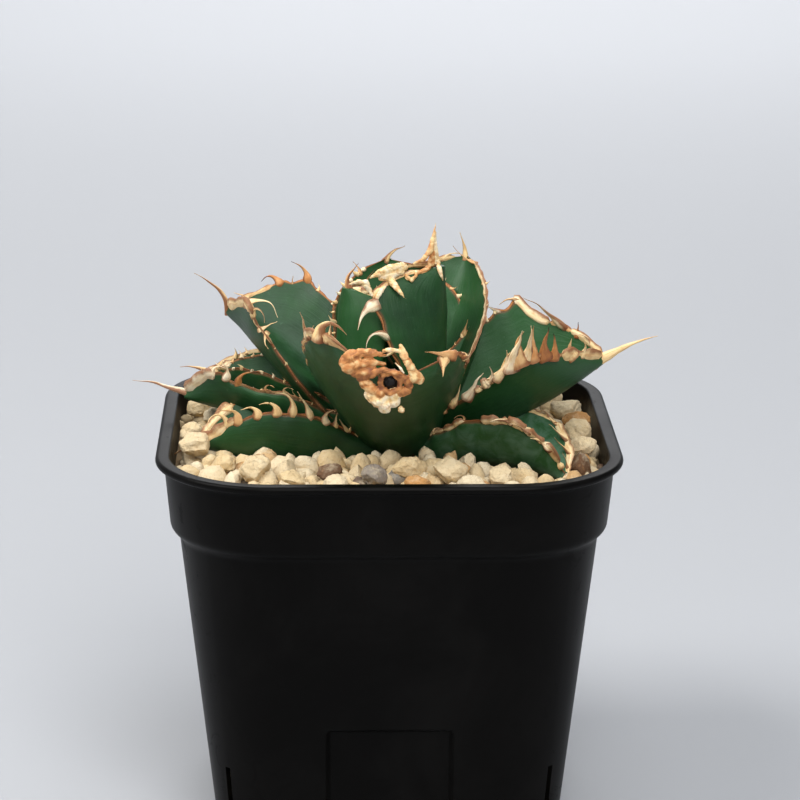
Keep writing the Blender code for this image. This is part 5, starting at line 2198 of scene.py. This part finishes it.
GALL = Cork("leaf_front_gall", GALL_STRANDS, (0.0, 0.0, 1.9), (0.1, -0.8, 0.6))
CREST = Cork("leaf_heart_right_crest", CREST_STRANDS, (-6.6, -2.0, 0.8), (0.0, 0.0, 0.0),
             0.6, 0.35, Side.MINUS)


# --- Stage ---


@dataclass(frozen=True)
class Lamp:
    """A square soft light that looks at a target, by default the plant."""

    name: str
    place: Point
    size: float
    power: float
    colour: Colour
    target: Point = (0.0, 0.0, 0.1)

    def build(self) -> None:
        """Make the light.

        Its size is in metres and its power in watts.
        """
        data = bpy.data.lights.new(self.name, "AREA")
        data.size = self.size
        data.energy = self.power
        data.color = self.colour
        lamp = into_scene(bpy.data.objects.new(self.name, data))
        aim = (Vector(self.target) - Vector(self.place)).to_track_quat("-Z", "Y")
        lamp.matrix_world = Matrix.Translation(self.place) @ aim.to_matrix().to_4x4()


LAMPS = (
    Lamp("window_light", (-0.80, -0.20, 1.05), 0.7, 14.0, (1.0, 0.985, 0.96)),
    Lamp("top_light", (0.20, -0.25, 1.25), 0.8, 6.0, (0.97, 0.985, 1.0)),
    Lamp("fill_light", (0.25, -1.0, 0.95), 0.7, 11.0, (1.0, 0.99, 0.98)),
    Lamp("backdrop_light", (0.1, 1.6, 1.0), 1.0, 24.0, (1.0, 0.995, 0.99), (0.1, 1.6, 0.0)),
)


@dataclass
class Stage:
    """The pale floor, the soft light and the camera."""

    lens: float = 142.47
    sensor: float = 36.0
    eye: Point = (-17.887 * mm, -707.861 * mm, 287.897 * mm)
    forward: Point = (0.02850, 0.96457, -0.26227)
    upward: Point = (0.00184, 0.26233, 0.96498)
    surround: Colour = (0.90, 0.94, 1.0)
    surround_strength: float = 0.22
    floor_half: float = 3.0
    floor_front: float = -2.4
    floor_back: float = 1.1
    backdrop_bend: float = 0.7
    backdrop_top: float = 3.0
    bend_steps: int = 16

    def build(self) -> None:
        """Make everything that isn't part of the object.

        That is the floor, the camera and the light.
        """
        self.build_floor()
        self.build_camera()
        self.build_light()

    def build_floor(self) -> None:
        """Make the floor.

        It runs back from under the pot and curves up into a backdrop.
        """
        bm = bmesh.new()
        bend = self.backdrop_bend
        profile = [(self.floor_front, 0.0), (self.floor_back, 0.0)]
        for i in range(1, self.bend_steps + 1):
            angle = radians(90 * i / self.bend_steps)
            profile.append((self.floor_back + bend * sin(angle), bend * (1 - cos(angle))))
        profile.append((self.floor_back + bend, self.backdrop_top))
        rows = [[bm.verts.new((x, y, z)) for x in (-self.floor_half, self.floor_half)] for y, z in profile]
        for a, b in zip(rows, rows[1:]):
            bm.faces.new((a[0], a[1], b[1], b[0]))
        floor = link_mesh("floor", bm, BackdropFinish().build("paper"), 80)

    def build_camera(self) -> None:
        """Make the camera.

        It looks slightly down on the front of the pot.
        """
        data = bpy.data.cameras.new("camera")
        data.sensor_width = self.sensor
        data.lens = self.lens
        data.clip_start = 0.01
        camera = into_scene(bpy.data.objects.new("camera", data))
        forward = Vector(self.forward).normalized()
        right = forward.cross(Vector(self.upward)).normalized()
        upward = right.cross(forward)
        turn = Matrix((right, upward, -forward)).transposed()
        camera.matrix_world = Matrix.Translation(self.eye) @ turn.to_4x4()
        bpy.context.scene.camera = camera

    def build_light(self) -> None:
        """Make the light.

        Soft light comes from the upper left, over a dim surround, and one lamp is over the backdrop.
        """
        for lamp in LAMPS:
            lamp.build()
        world = bpy.data.worlds.new("surround")
        world.use_nodes = True
        back = world.node_tree.nodes["Background"]
        back.inputs["Color"].default_value = (*self.surround, 1)
        back.inputs["Strength"].default_value = self.surround_strength
        bpy.context.scene.world = world
        bpy.context.scene.view_settings.view_transform = "Standard"


def main() -> None:
    """Build the object in order, then the stage around it.

    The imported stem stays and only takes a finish.
    """
    logging.basicConfig(level=logging.INFO, format="%(name)s %(message)s")
    pot = Pot()
    pot.build()
    fill = Fill(pot)
    fill.build_mix()
    canopy = Canopy(LEAVES)
    canopy.build()
    by_name = {leaf.name: leaf for leaf in LEAVES}
    GALL.build([by_name["leaf_front"]])
    CREST.build([by_name["leaf_heart_right"], by_name["leaf_heart_left"]])
    Gravel().build(fill.build_bed(canopy), pot)
    stem = frame["nodes"]["stem"]
    stem.data.materials.clear()
    stem.data.materials.append(StemFinish().build("stem_skin"))
    Stage().build()


if __name__ == "__main__":
    main()
